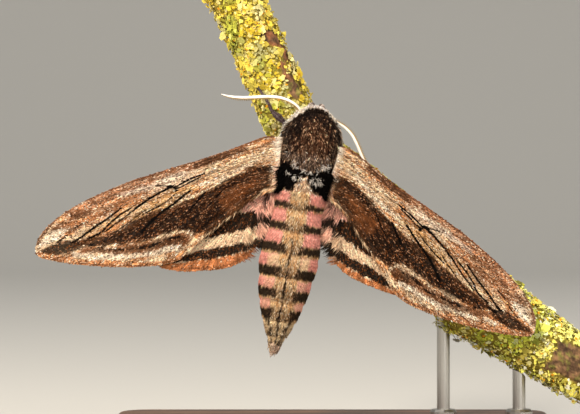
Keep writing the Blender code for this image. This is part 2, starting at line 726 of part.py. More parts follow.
def make_twig():
    """The short cut length of lichened twig that the moth grips."""
    bm = bmesh.new()
    twig_mesh(bm, 0.0)
    object_from("perch_twig", bm, "lichened_bark")


def leg_path(spec):
    """Joints of a leg in the moth's frame: hip, bend, knee, ankle, middle of the foot and toe."""
    hip_x, hip_y = spec["hip"]
    hip = Vector((hip_x, hip_y, underside_of_thorax(hip_x, hip_y) - TOUCH_GAP))
    lifts = (TARSUS_RADIUS + 0.55, TARSUS_RADIUS + TOUCH_GAP, TARSUS_RADIUS + TOUCH_GAP)
    feet = [
        world_to_moth(twig_point(along, math.radians(turn), lift))
        for (along, turn), lift in zip(spec["foot"], lifts)
    ]
    return [hip, Vector(spec["bend"]), Vector(spec["knee"]), *feet]


def leg_profile(joints):
    """Points and radii down a leg: thigh, shank swollen in the middle, and a foot of short segments."""
    hip, bend, knee, ankle, arch, toe = joints
    stretches = [
        (hip, bend, [(0.0, 0.62), (0.35, FEMUR_RADIUS), (0.85, 0.55)]),
        (bend, knee, [(0.0, 0.58), (0.3, FEMUR_RADIUS), (0.75, FEMUR_RADIUS * 0.9), (0.96, 0.42)]),
        (knee, ankle, [(0.08, 0.45), (0.35, TIBIA_RADIUS), (0.7, TIBIA_RADIUS * 0.95), (0.95, 0.33)]),
        (ankle, arch, [(0.1, TARSUS_RADIUS), (0.45, TARSUS_RADIUS), (0.52, 0.25), (0.9, TARSUS_RADIUS)]),
        (arch, toe, [(0.0, 0.25), (0.4, TARSUS_RADIUS), (0.48, 0.25), (0.92, TARSUS_RADIUS), (1.0, 0.22)]),
    ]
    points, radii = [], []
    for start, end, steps in stretches:
        for share, radius in steps:
            points.append(start.lerp(end, share))
            radii.append(radius)
    return points, radii


def cone(bm, root, tip, radius, sides=5):
    """A small pointed cone from a root to a tip."""
    axis = (tip - root).normalized()
    normal = axis.orthogonal().normalized()
    across = axis.cross(normal)
    turns = [2 * math.pi * i / sides for i in range(sides)]
    ring = [root + radius * (math.cos(t) * normal + math.sin(t) * across) for t in turns]
    loft(bm, [ring, [tip]])


def make_leg(name, spec, pose):
    """One leg with its pair of claws and its shank spurs."""
    joints = leg_path(spec)
    points, radii = leg_profile(joints)
    pieces = [lambda bm: tube(bm, points, radii, LEG_SIDES)]
    _, _, knee, ankle, arch, toe = joints
    heading = (toe - arch).normalized()
    below = world_to_moth(twig_middle(spec["foot"][-1][0])[0]) - toe
    across = heading.cross(below).normalized()
    for way in (-1, 1):
        root = toe - heading * 0.25
        tip = toe + heading * CLAW_LENGTH + across * way * 0.42
        pieces.append(lambda bm, root=root, tip=tip: cone(bm, root, tip, 0.17))
    shank = (ankle - knee).normalized()
    side = shank.cross(below).normalized()
    for pair in range(spec["spurs"]):
        root = knee.lerp(ankle, 0.93 - 0.36 * pair)
        for way in (-1, 1):
            tip = root + shank * SPUR_LENGTH * 0.75 + side * way * SPUR_LENGTH * 0.6
            pieces.append(lambda bm, root=root, tip=tip: cone(bm, root, tip, 0.2))
    join_pieces(name, pieces, "leg_fur", pose)


def make_base():
    """The stand's flat base, a board with round corners and a small edge round."""
    width, depth, height = BASE_SIZE
    bm = bmesh.new()
    steps = 5
    corners = []
    for k, (sx, sy) in enumerate(((1, 1), (-1, 1), (-1, -1), (1, -1))):
        cx, cy = sx * (width / 2 - BASE_CORNER_RADIUS), sy * (depth / 2 - BASE_CORNER_RADIUS)
        for i in range(steps + 1):
            turn = math.pi / 2 * (k + i / steps)
            corners.append((cx, cy, math.cos(turn), math.sin(turn)))
    layers = [(0.0, 0.25), (0.25, 0.0), (height - BASE_EDGE_RADIUS, 0.0)]
    for turn in (35, 65, 90):
        slope = math.radians(turn)
        layers.append((height - BASE_EDGE_RADIUS * (1 - math.sin(slope)), BASE_EDGE_RADIUS * (1 - math.cos(slope))))
    rings = []
    for level, inset in layers:
        reach = BASE_CORNER_RADIUS - inset
        rings.append([(cx + reach * dx, cy + reach * dy, level) for cx, cy, dx, dy in corners])
    loft(bm, rings)
    object_from("stand_base", bm, "oiled_walnut")


def twig_station_at(x):
    """Millimetres along the twig where its middle line stands over a place on the base."""
    along = TWIG_CUT[0]
    while twig_middle(along)[0].x < x:
        along += 0.25
    return along


def make_rods():
    """Two short rods up from the base, their tops cut to the twig's underside."""
    for name, x in ROD_PLACES.items():
        middle = twig_middle(twig_station_at(x))[0]
        floor = BASE_SIZE[2] + TOUCH_GAP
        levels = [
            (floor, ROD_FOOT_RADIUS), (floor + ROD_FOOT_HEIGHT * 0.6, ROD_FOOT_RADIUS),
            (floor + ROD_FOOT_HEIGHT, ROD_FOOT_RADIUS - 0.4), (floor + ROD_FOOT_HEIGHT, ROD_RADIUS),
            (middle.z, ROD_RADIUS),
        ]
        rings = []
        for level, radius in levels:
            turns = [2 * math.pi * i / ROD_SIDES for i in range(ROD_SIDES)]
            rings.append([(x + radius * math.cos(t), middle.y + radius * math.sin(t), level) for t in turns])
        bm = bmesh.new()
        loft(bm, rings)
        rod = object_from(name, bm, "brushed_steel")
        bm = bmesh.new()
        twig_mesh(bm, TOUCH_GAP)
        cut_away(rod, object_from("twig_cutter", bm, "lichened_bark"))
        keep_largest(rod)


def main():
    """Builds the moth, its twig and the stand."""
    clear_scene()
    pose = make_pose()
    make_thorax(pose)
    make_abdomen(pose)
    make_head(pose)
    make_eyes(pose)
    make_palps(pose)
    make_tongue(pose)
    make_antennae(pose)
    make_wings(pose)
    for name, spec in LEGS.items():
        make_leg(name, spec, pose)
    make_twig()
    make_base()
    make_rods()


main()
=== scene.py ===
"""A privet hawk moth on a lichened twig: the finished look of the life-size model.

Shapes are worked out in millimetres. The moth has its own frame: x to its right, y to its head and z out of
its back, with the origin in the middle of the thorax, and MothPose stands it head up on the twig.
"""

import logging
import math
from collections.abc import Callable, Sequence
from dataclasses import dataclass, field
from enum import Enum, StrEnum

import bpy
import numpy as np
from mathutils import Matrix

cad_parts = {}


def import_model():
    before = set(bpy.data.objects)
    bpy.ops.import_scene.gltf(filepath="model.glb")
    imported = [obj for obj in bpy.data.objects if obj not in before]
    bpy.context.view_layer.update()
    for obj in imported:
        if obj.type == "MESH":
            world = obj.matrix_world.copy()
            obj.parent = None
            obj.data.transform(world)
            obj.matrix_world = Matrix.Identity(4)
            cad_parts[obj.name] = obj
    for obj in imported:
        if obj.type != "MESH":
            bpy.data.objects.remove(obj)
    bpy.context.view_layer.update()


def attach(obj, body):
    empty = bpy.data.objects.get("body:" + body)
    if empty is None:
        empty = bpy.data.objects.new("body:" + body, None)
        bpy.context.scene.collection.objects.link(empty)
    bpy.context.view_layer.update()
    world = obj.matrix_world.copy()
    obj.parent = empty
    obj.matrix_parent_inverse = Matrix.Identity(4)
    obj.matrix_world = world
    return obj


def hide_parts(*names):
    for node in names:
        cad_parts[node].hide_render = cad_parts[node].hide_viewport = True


MM = 0.001
TAU = 2 * math.pi
LUMINANCE = np.array((0.21, 0.72, 0.07))
CHITIN_IOR = 1.55
BAKE_SHARE = 0.96
BAKE_RIM = 0.02
LOG = logging.getLogger("privet_hawk_moth")

# The photograph's scale on the plane of the wings, and the column that stands over the middle of the base.
PIXEL_MM = 0.185
PHOTO_WIDTH_PX = 580
PHOTO_MIDDLE_PX = (290.0, 207.0)
BASE_COLUMN_PX = 335.0
FLOOR_ROW_PX = 451.0
WING_PLANE_Y = -10.0
LENS_MM = 150.0
SENSOR_MM = 36.0

Array = np.ndarray
Draw = np.random.Generator
Piece = bpy.types.Object
Socket = bpy.types.NodeSocket
Tree = bpy.types.NodeTree
Plan = tuple[tuple[float, ...], ...]


def linear(code: str) -> Array:
    """Turns an sRGB hex colour to linear red, green and blue."""
    parts = [int(code[i:i + 2], 16) / 255 for i in (1, 3, 5)]
    return np.array([c / 12.92 if c <= 0.04045 else ((c + 0.055) / 1.055) ** 2.4 for c in parts])


def smooth_step(low: float, high: float, value: Array) -> Array:
    """Rises smoothly from 0 at low to 1 at high."""
    share = np.clip((value - low) / (high - low), 0.0, 1.0)
    return share * share * (3 - 2 * share)


def mixed(first: Array | str, second: Array | str, share: Array) -> Array:
    """Mixes two hex colours, or rows of linear colours, by a share for each row."""
    first, second = (linear(colour) if isinstance(colour, str) else colour for colour in (first, second))
    return first + (second - first) * np.reshape(share, (-1, 1))


def spline(before: Array, start: Array, end: Array, after: Array, t: Array) -> Array:
    """Reads a smooth curve between start and end, from the values on both sides of them, at t from 0 to 1."""
    return 0.5 * (2 * start + (end - before) * t + (2 * before - 5 * start + 4 * end - after) * t**2
                  + (3 * start - before - 3 * end + after) * t**3)


def bake_map(first: Array, second: Array) -> Array:
    """Places on the bake map, kept off its rim, of shares from 0 to 1 across and up."""
    return np.column_stack((first, second)) * BAKE_SHARE + BAKE_RIM


def unit(vectors: Array) -> Array:
    """Scales each row to a length of one."""
    return vectors / np.maximum(np.linalg.norm(vectors, axis=1, keepdims=True), 1e-9)


def noise(points: Array, seed: int = 0, octaves: int = 1) -> Array:
    """Smooth random values, about -1 to 1, on a lattice one unit wide.

    Args:
        points: Rows of x, y and z, or of x and y.
        seed: Picks one of many patterns.
        octaves: How many finer layers are added, each half as wide and half as strong.

    Returns:
        One value for each row.
    """
    if points.shape[1] == 2:
        points = np.column_stack((points, np.zeros(len(points))))
    total, strength, reach = np.zeros(len(points)), 1.0, 0.0
    for octave in range(octaves):
        cells = np.floor(points).astype(np.int64)
        share = points - cells
        share = share * share * (3 - 2 * share)
        value = np.zeros(len(points))
        for corner in range(8):
            step = np.array([corner & 1, corner >> 1 & 1, corner >> 2])
            key = ((cells + step) * np.array([73856093, 19349663, 83492791])).sum(axis=1)
            key = (key + (seed + 31 * octave) * 2654435761) & 0xFFFFFFFF
            key = ((key ^ (key >> 15)) * 2246822519) & 0xFFFFFFFF
            key = ((key ^ (key >> 13)) * 3266489917) & 0xFFFFFFFF
            weight = np.prod(np.where(step, share, 1 - share), axis=1)
            value += weight * (key ^ (key >> 16)) / 0xFFFFFFFF
        total += strength * (2 * value - 1)
        reach += strength
        strength /= 2
        points = points * 2 + 17.3
    return total / reach * 1.6


def trace(points: Sequence, shares: Array) -> Array:
    """Reads a smooth curve through points at shares, 0 to 1, of its chord length.

    Args:
        points: The points of the curve, of any dimension.
        shares: Where to read it.

    Returns:
        One row for each share.
    """
    knots = np.asarray(points, float)
    steps = np.linalg.norm(np.diff(knots, axis=0), axis=1)
    ends = np.concatenate(([0.0], np.cumsum(steps)))
    place = np.clip(shares, 0, 1) * ends[-1]
    index = np.clip(np.searchsorted(ends, place, side="right") - 1, 0, len(steps) - 1)
    before, after = np.maximum(index - 1, 0), np.minimum(index + 1, len(steps) - 1)
    t = ((place - ends[index]) / steps[index])[:, None]
    start, end = knots[index], knots[index + 1]
    slope_in = (end - knots[before]) * (steps[index] / (steps[before] + steps[index]))[:, None]
    slope_out = (knots[np.minimum(index + 2, len(knots) - 1)] - start)
    slope_out = slope_out * (steps[index] / (steps[index] + steps[after]))[:, None]
    return (
        (2 * t**3 - 3 * t**2 + 1) * start + (t**3 - 2 * t**2 + t) * slope_in
        + (3 * t**2 - 2 * t**3) * end + (t**3 - t**2) * slope_out
    )


def line_distance(points: Array, line: Array) -> tuple[Array, Array]:
    """Distance of each point from an open line, and the share of the line's length where it is nearest.

    Args:
        points: Rows of places.
        line: Rows of the line's points.

    Returns:
        Both, with one value for each place.
    """
    steps = np.linalg.norm(np.diff(line, axis=0), axis=1)
    ends = np.concatenate(([0.0], np.cumsum(steps)))
    best, where = np.full(len(points), np.inf), np.zeros(len(points))
    for start, end, begun, step in zip(line, line[1:], ends, steps):
        share = np.clip((points - start) @ (end - start) / step**2, 0, 1)
        away = np.linalg.norm(points - start - share[:, None] * (end - start), axis=1)
        nearer = away < best
        best[nearer] = away[nearer]
        where[nearer] = ((begun + share * step) / ends[-1])[nearer]
    return best, where


def inside(points: Array, outline: Array) -> Array:
    """Says which points lie inside a closed outline.

    Args:
        points: Rows of x and y.
        outline: Rows of the outline's corners.

    Returns:
        A truth value for each point.
    """
    crossed = np.zeros(len(points), bool)
    for (ax, ay), (bx, by) in zip(outline, np.roll(outline, -1, axis=0)):
        if ay != by:
            spans = (ay > points[:, 1]) != (by > points[:, 1])
            crossed ^= spans & (points[:, 0] < ax + (points[:, 1] - ay) * (bx - ax) / (by - ay))
    return crossed


@dataclass(frozen=True)
class MothPose:
    """How the moth sits: its body leans from upright, and its middle is this far from the world's origin."""

    lean: float = math.radians(9.2)
    middle: tuple[float, float, float] = (-5.0, -8.5, 55.7)

    def to_world(self, points: Array) -> Array:
        """Turns rows in the moth's frame, in millimetres, to world rows in millimetres."""
        return self.turn(points) + np.array(self.middle)

    def turn(self, vectors: Array) -> Array:
        """Turns directions from the moth's frame to the world's.

        Args:
            vectors: Rows of directions in the moth's frame.

        Returns:
            Rows of directions.
        """
        x, y, z = np.asarray(vectors, float).T
        lean, upright = math.sin(self.lean), math.cos(self.lean)
        return np.column_stack((upright * x + lean * y, -z, upright * y - lean * x))

    def from_world(self, points: Array) -> Array:
        """Turns world rows in millimetres to rows in the moth's frame.

        Args:
            points: Rows of world millimetres.

        Returns:
            Rows of places in the moth's frame.
        """
        x, y, z = (np.asarray(points, float) - np.array(self.middle)).T
        lean, upright = math.sin(self.lean), math.cos(self.lean)
        return np.column_stack((upright * x - lean * z, lean * x + upright * z, -y))


POSE = MothPose()


class MarkShape(Enum):
    """What a marking is: a stripe along a line or a patch inside an outline."""

    STRIPE = "stripe"
    PATCH = "patch"


@dataclass(frozen=True)
class Mark:
    """One marking of the moth, in millimetres on the plan of what it lies on.

    Its edge says how soft and how ragged it ends, in millimetres, and how strongly it covers, from 0 to 1.
    """

    shape: MarkShape
    colour: str
    points: Plan
    half_width: tuple[float, float] = (0.2, 0.2)
    edge: tuple[float, float, float] = (0.15, 0.2, 1.0)

    def cover(self, plan: Array, grain: Array, seed: int, crisp: float = 1.0) -> Array:
        """How strongly the marking covers each place.

        Args:
            plan: Rows of places on the plan.
            grain: The same places, squeezed along the lie of the scales, for ragged edges.
            seed: Picks the raggedness.
            crisp: Narrows the soft and the ragged part of the edges.

        Returns:
            Shares from 0 to the marking's strength.
        """
        line = np.array(self.points)
        low, high = line.min(axis=0) - 3.0, line.max(axis=0) + 3.0
        near = np.all((plan > low) & (plan < high), axis=1)
        result = np.zeros(len(plan))
        if not near.any():
            return result
        places = plan[near]
        if self.shape is MarkShape.PATCH:
            away, _ = line_distance(places, np.vstack((line, line[:1])))
            past = np.where(inside(places, line), -away, away)
        else:
            away, share = line_distance(places, trace(line, np.linspace(0, 1, 6 * len(line))))
            past = away - (self.half_width[0] + (self.half_width[1] - self.half_width[0]) * share)
        soft, ragged, strength = self.edge
        past = past + crisp * ragged * noise(grain[near], seed, 3)
        result[near] = strength * (1 - smooth_step(-soft * crisp, soft * crisp, past))
        return result


def stripe(colour: str, points: Plan, start: float, end: float | None = None, **more: tuple) -> Mark:
    """A stripe along a line, with its half width at the start and at the end."""
    return Mark(MarkShape.STRIPE, colour, points, (start, start if end is None else end), **more)


def patch(colour: str, points: Plan, **more: tuple) -> Mark:
    """A patch inside an outline."""
    return Mark(MarkShape.PATCH, colour, points, **more)


def paint(plan: Array, grain: Array, ground: Array, marks: Sequence[Mark], crisp: float = 1.0) -> Array:
    """Lays markings over a ground colour, one over another.

    Args:
        plan: Rows of places on the plan.
        grain: The same places, squeezed along the lie of the scales.
        ground: Rows of linear colours.
        marks: The markings, lowest first.
        crisp: Narrows the soft and the ragged part of their edges.

    Returns:
        Rows of linear colours.
    """
    colours = ground.copy()
    for seed, mark in enumerate(marks):
        colours = mixed(colours, mark.colour, mark.cover(plan, grain, seed, crisp))
    return colours


def add_node(tree: Tree, kind: str, settings: dict | None = None,
             inputs: dict | None = None) -> bpy.types.Node:
    """Adds one node to a material.

    Args:
        tree: The material's node tree.
        kind: The node's type name, without its ShaderNode beginning.
        settings: The node's own settings.
        inputs: For each input, by name or number, its value or the socket that feeds it.

    Returns:
        The node.
    """
    node = tree.nodes.new("ShaderNode" + kind)
    for name, value in (settings or {}).items():
        setattr(node, name, value)
    for name, value in (inputs or {}).items():
        if isinstance(value, bpy.types.NodeSocket):
            tree.links.new(value, node.inputs[name])
        else:
            node.inputs[name].default_value = value
    return node


def shader_on_places(name: str, inputs: dict) -> tuple[bpy.types.Material, bpy.types.Node, Socket]:
    """Begins a material.

    Args:
        name: Its name.
        inputs: The shader's plain values, by input.

    Returns:
        The material, its shader, and the place on the object for patterns to read.
    """
    made = bpy.data.materials.new(name)
    made.use_nodes = True
    shader = made.node_tree.nodes["Principled BSDF"]
    for label, value in inputs.items():
        shader.inputs[label].default_value = value
    return made, shader, add_node(made.node_tree, "TexCoord").outputs["Object"]


def stretched(tree: Tree, place: Socket, scale: tuple[float, float, float]) -> Socket:
    """Places for a pattern, drawn out along an axis whose scale is small."""
    return add_node(tree, "Mapping", inputs={"Vector": place, "Scale": scale}).outputs["Vector"]


def ranged(tree: Tree, value: Socket, low: float, high: float,
           source: tuple[float, float] = (0.0, 1.0)) -> Socket:
    """Maps a pattern's values, from a range of its own, to between low and high."""
    limits = {"From Min": source[0], "From Max": source[1], "To Min": low, "To Max": high}
    return add_node(tree, "MapRange", inputs={"Value": value, **limits}).outputs["Result"]


def shade_by(tree: Tree, shader: bpy.types.Node, colour: Socket, light: Socket) -> None:
    """Gives a shader a colour, made lighter or darker by a pattern."""
    shaded = add_node(tree, "VectorMath", {"operation": "SCALE"}, {0: colour, "Scale": light})
    tree.links.new(shaded.outputs["Vector"], shader.inputs["Base Color"])


def add_bump(tree: Tree, shader: bpy.types.Node, height: Socket, depth_mm: float,
             invert: bool = False) -> None:
    """Lets a pattern raise a shader's surface by so many millimetres.

    Args:
        tree: The material's node tree.
        shader: The shader.
        height: The pattern.
        depth_mm: How deep it goes.
        invert: Whether high values lie deep.
    """
    bump = add_node(tree, "Bump", {"invert": invert}, {"Height": height, "Distance": depth_mm * MM})
    tree.links.new(bump.outputs["Normal"], shader.inputs["Normal"])


@dataclass(frozen=True)
class PaintedFinish:
    """A matt natural surface whose colours are carried by the mesh, with a fine grain over them.

    Hair and scales are chitin: an IOR of about 1.55, no gloss to speak of, and a soft sheen along the edge.
    """

    name: str
    grain_mm: float
    grain_strength: float = 0.25
    roughness: float = 0.7
    specular: float = 0.25
    sheen: float = 0.0
    bump_mm: float = 0.0

    def material(self) -> bpy.types.Material:
        """Builds the material.

        Returns:
            The material.
        """
        made, shader, place = shader_on_places(self.name, {
            "Roughness": self.roughness, "IOR": CHITIN_IOR, "Specular IOR Level": self.specular,
            "Sheen Weight": self.sheen, "Sheen Roughness": 0.5,
        })
        tree = made.node_tree
        colour = add_node(tree, "Attribute", {"attribute_name": "markings"}).outputs["Color"]
        grain = add_node(tree, "TexNoise", inputs={
            "Vector": place, "Scale": 1 / (self.grain_mm * MM), "Detail": 3.0, "Roughness": 0.6,
        }).outputs["Fac"]
        light = ranged(tree, grain, 1 - self.grain_strength, 1 + self.grain_strength, (0.25, 0.75))
        shade_by(tree, shader, colour, light)
        if self.bump_mm:
            add_bump(tree, shader, grain, self.bump_mm)
        return made


class Finish(Enum):
    """The painted finishes of the model, named for what the real surface is."""

    # Overlapping chitin scales, dry as dust, with a faint silky light on the ribs of each scale.
    WING_SCALE = PaintedFinish("wing_scale_chitin", 0.22, 0.3, 0.8, 0.05, 0.0, 0.05)
    # The clear wing skin under the scales, seen only where they are thin.
    WING_MEMBRANE = PaintedFinish("wing_membrane_chitin", 0.3, 0.25, 0.65, 0.15, 0.0, 0.06)
    # Long silky hair on the wings' roots and edges.
    WING_HAIR = PaintedFinish("wing_hair_chitin", 0.3, 0.15, 0.8, 0.05)
    # Long hair scales of the thorax, soft and light-swallowing.
    THORAX_HAIR = PaintedFinish("thorax_hair_chitin", 0.35, 0.3, 0.85, 0.04)
    # Short hair scales of the abdomen, pressed flat.
    ABDOMEN_HAIR = PaintedFinish("abdomen_hair_chitin", 0.3, 0.2, 0.85, 0.06)
    # Body skin under the hair, dull and dark.
    BODY_SKIN = PaintedFinish("body_cuticle_chitin", 0.5, 0.3, 0.8, 0.05, 0.0, 0.1)
    # Hard leg cuticle under hair scales, a little glossy where it is bare.
    LEG_CUTICLE = PaintedFinish("leg_cuticle_chitin", 0.25, 0.3, 0.45, 0.4, 0.0, 0.03)
    # Shingled white scales of the feelers, almost porcelain.
    FEELER_SCALE = PaintedFinish("feeler_scale_chitin", 0.12, 0.08, 0.5, 0.35, 0.05, 0.02)
    # Bark of a thin living twig: corky, cracked along its length.
    BARK = PaintedFinish("twig_bark_cork", 0.9, 0.45, 0.9, 0.2, 0.0, 0.35)
    # Lichen thallus: a dry, matt, slightly powdery skin.
    LICHEN = PaintedFinish("lichen_thallus", 0.35, 0.22, 0.85, 0.2, 0.05, 0.08)

    def make(self) -> bpy.types.Material:
        """The finish's material, made once."""
        return bpy.data.materials.get(self.value.name) or self.value.material()


def deselect() -> None:
    """Leaves nothing selected, so that an operator acts only on what follows."""
    bpy.ops.object.select_all(action="DESELECT")


def pick(piece: Piece) -> None:
    """Selects one piece and makes it active.

    Args:
        piece: The piece.
    """
    deselect()
    piece.select_set(True)
    bpy.context.view_layer.objects.active = piece


def edit_all(piece: Piece, *steps: Callable[[], object]) -> None:
    """Runs steps on all of a piece in edit mode.

    Args:
        piece: The piece.
        steps: What to run, in order.
    """
    pick(piece)
    bpy.ops.object.mode_set(mode="EDIT")
    bpy.ops.mesh.select_all(action="SELECT")
    for step in steps:
        step()
    bpy.ops.object.mode_set(mode="OBJECT")


def outward() -> None:
    """Turns the faces that are selected in edit mode to point outwards."""
    bpy.ops.mesh.normals_make_consistent(inside=False)


def apply_modifier(piece: Piece, kind: str, **settings: object) -> None:
    """Adds a modifier to a piece and applies it.

    Args:
        piece: The piece.
        kind: The modifier's type.
        settings: The modifier's own settings.
    """
    pick(piece)
    modifier = piece.modifiers.new(kind.lower(), kind)
    for name, value in settings.items():
        setattr(modifier, name, value)
    bpy.ops.object.modifier_apply(modifier=modifier.name)


def places_of(piece: Piece) -> Array:
    """A mesh's vertices as rows of millimetres in the world.

    Args:
        piece: The mesh.

    Returns:
        One row for each vertex.
    """
    rows = np.empty(len(piece.data.vertices) * 3)
    piece.data.vertices.foreach_get("co", rows)
    return rows.reshape(-1, 3) / MM


def place_vertices(piece: Piece, rows: Array) -> None:
    """Moves a mesh's vertices to rows of millimetres in the world."""
    piece.data.vertices.foreach_set("co", (rows * MM).ravel())
    piece.data.update()


def colour_vertices(piece: Piece, colours: Array) -> None:
    """Gives each vertex its linear colour.

    Args:
        piece: The piece.
        colours: A row for each vertex, or one colour for all.
    """
    layer = piece.data.color_attributes.get("markings")
    layer = layer or piece.data.color_attributes.new("markings", "FLOAT_COLOR", "POINT")
    count = len(piece.data.vertices)
    rows = np.column_stack((np.broadcast_to(np.clip(colours, 0, 1), (count, 3)), np.ones(count)))
    layer.data.foreach_set("color", rows.ravel())


def settle(piece: Piece, name: str, finish: Finish | bpy.types.Material, slot: str, *nodes: str) -> None:
    """Names and dresses a finished piece, hangs it on the root, and hides the solids that it replaces.

    Args:
        piece: The finished piece.
        name: Its name.
        finish: Its finish, or its material.
        slot: The record's slot; not used.
        nodes: The solids that it replaces.
    """
    piece.name = piece.data.name = name
    piece.data.materials.clear()
    piece.data.materials.append(finish.make() if isinstance(finish, Finish) else finish)
    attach(piece, "root")
    if nodes:
        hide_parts(*nodes)
    triangles = sum(len(face.vertices) - 2 for face in piece.data.polygons)
    LOG.info("%s: %d triangles", name, triangles)


def wrapped_ball(name: str, around: int, along: int, place: Callable[[Array, Array], Array]) -> Piece:
    """A closed round form: a ball whose poles are the form's two ends.

    Args:
        name: The piece's name.
        around: Faces round it.
        along: Faces from end to end.
        place: Takes shares from end to end and turns round the form, and returns world millimetres.

    Returns:
        The piece.
    """
    deselect()
    bpy.ops.mesh.primitive_uv_sphere_add(segments=around, ring_count=along, radius=1.0)
    piece = bpy.context.active_object
    piece.name = name
    rows = np.empty(len(piece.data.vertices) * 3)
    piece.data.vertices.foreach_get("co", rows)
    x, y, z = rows.reshape(-1, 3).T
    shares = np.arccos(np.clip(-z, -1, 1)) / math.pi
    place_vertices(piece, place(shares, np.arctan2(y, x)))
    edit_all(piece, outward)
    bpy.ops.object.shade_smooth()
    return piece


def tube_around(path: Array, radii: Array, shares: Array, turns: Array) -> Array:
    """Places on a tube round a path of evenly read points.

    Args:
        path: Rows of the path's points.
        radii: The radius at each of them.
        shares: Shares from end to end of the places asked for.
        turns: Their turns round the path.

    Returns:
        Rows of places.
    """
    ahead = unit(np.gradient(path, axis=0))
    aside = np.empty_like(ahead)
    side = np.cross(ahead[0], (0.0, 0.0, 1.0) if abs(ahead[0][2]) < 0.9 else (1.0, 0.0, 0.0))
    for row, direction in enumerate(ahead):
        side = side - direction * (side @ direction)
        side = side / np.linalg.norm(side)
        aside[row] = side
    over = np.cross(aside, ahead)
    at = shares * (len(path) - 1)

    def read(rows: Array) -> Array:
        """Reads rows at the shares asked for."""
        return np.column_stack([np.interp(at, np.arange(len(path)), column) for column in rows.T])

    radius = np.interp(at, np.arange(len(path)), radii)[:, None]
    round_off = np.sqrt(np.clip(np.minimum(shares, 1 - shares) * len(path) * 0.8, 0, 1))[:, None]
    turned = read(aside) * np.cos(turns)[:, None] + read(over) * np.sin(turns)[:, None]
    return read(path) + turned * radius * round_off


def smooth_copy(node: Piece) -> Piece:
    """A smooth copy of a faceted solid, merged and subdivided.

    Args:
        node: The solid's object.

    Returns:
        The copy.
    """
    piece = bpy.data.objects.new(node.name + "_copy", node.data.copy())
    bpy.context.scene.collection.objects.link(piece)
    edit_all(piece, lambda: bpy.ops.mesh.remove_doubles(threshold=1e-6), outward)
    apply_modifier(piece, "SUBSURF", levels=1, render_levels=1)
    bpy.ops.object.shade_smooth()
    return piece


def ordered_corners(mesh: bpy.types.Mesh) -> Array:
    """The corners of a mesh's triangles in order, because a ball's faces come in another order in each run.

    Args:
        mesh: The mesh.

    Returns:
        Rows of three vertex numbers.
    """
    triangles = []
    for face in mesh.polygons:
        ring = tuple(face.vertices)
        first = ring.index(min(ring))
        ring = ring[first:] + ring[:first]
        triangles += [(ring[0], *pair) for pair in zip(ring[1:], ring[2:])]
    return np.array(sorted(triangles))


def scatter(piece: Piece, count: int, draw: Draw, ordered: bool = False) -> tuple[Array, Array]:
    """Spreads places evenly over a piece's surface.

    Args:
        piece: The mesh.
        count: How many places.
        draw: The seeded random draw.
        ordered: Whether to put the mesh's triangles in order first.

    Returns:
        Rows of places in world millimetres, and rows of the surface's normals there.
    """
    mesh = piece.data
    mesh.calc_loop_triangles()
    corners = np.empty(len(mesh.loop_triangles) * 3, np.int32)
    mesh.loop_triangles.foreach_get("vertices", corners)
    corners = ordered_corners(mesh) if ordered else corners.reshape(-1, 3)
    rows = np.empty(len(mesh.vertices) * 3)
    mesh.vertices.foreach_get("normal", rows)
    normals, places = rows.reshape(-1, 3)[corners], places_of(piece)[corners]
    areas = np.linalg.norm(np.cross(places[:, 1] - places[:, 0], places[:, 2] - places[:, 0]), axis=1)
    chosen = draw.choice(len(areas), count, p=areas / areas.sum())
    first, second = draw.random(count), draw.random(count)
    folded = first + second > 1
    first, second = np.where(folded, 1 - first, first), np.where(folded, 1 - second, second)
    weights = np.column_stack((1 - first - second, first, second))[:, :, None]
    return (places[chosen] * weights).sum(axis=1), unit((normals[chosen] * weights).sum(axis=1))


@dataclass(frozen=True)
class LockShape:
    """The small closed form that every tuft, scale or lobe of a coat is copied from.

    Its points are shares of its length, width and height, from the root at 0 to the tip at 1. Its light says
    how bright each point is, where that doesn't simply rise from root to tip.
    """

    points: Plan
    faces: tuple[tuple[int, int, int], ...]
    light: tuple[float, ...] = ()


# A scale of the wing: a thin shield with a low crown.
SCALE_SHAPE = LockShape(
    ((0, 0, 0), (0.35, 0.5, 0), (1, 0.34, 0), (1, -0.34, 0), (0.35, -0.5, 0), (0.6, 0, 1)),
    ((1, 0, 5), (2, 1, 5), (3, 2, 5), (4, 3, 5), (0, 4, 5), (0, 1, 2), (0, 2, 3), (0, 3, 4)),
)
# A hair tuft: three-sided, bent once, drawn out to a point.
TUFT_SHAPE = LockShape(
    ((0, 0.5, 0), (0, -0.5, 0), (0, 0, 1), (0.5, 0.42, 0), (0.5, -0.42, 0), (0.5, 0, 0.8), (1, 0, 0.2)),
    ((0, 1, 2), (1, 0, 3), (1, 3, 4), (2, 1, 4), (2, 4, 5), (0, 2, 5), (0, 5, 3), (4, 3, 6), (5, 4, 6),
     (3, 5, 6)),
)


def lobe_shape(seed: int, sides: int = 9) -> LockShape:
    """A lichen lobe: a thin dished leaf with a scalloped rim.

    Args:
        seed: Picks the rim's scallops.
        sides: Points round the rim.

    Returns:
        The shape, rooted at one edge and wide at the other.
    """
    draw = np.random.default_rng(seed)
    turns = (np.arange(sides) + draw.uniform(-0.25, 0.25, sides)) / sides * TAU
    reach = 0.5 * (1 + draw.uniform(-0.4, 0.3, sides))
    rim = [(0.5 + r * math.cos(t), r * math.sin(t), draw.uniform(0.4, 1.0)) for r, t in zip(reach, turns)]
    faces = [(i, (i + 1) % sides, sides) for i in range(sides)]
    faces += [((i + 1) % sides, i, sides + 1) for i in range(sides)]
    # The lights give the rim a painted highlight, and the middle and the underside painted shade.
    return LockShape((*rim, (0.5, 0.0, 0.55), (0.5, 0.0, -0.5)), tuple(faces), (*(1.12,) * sides, 0.9, 0.45))


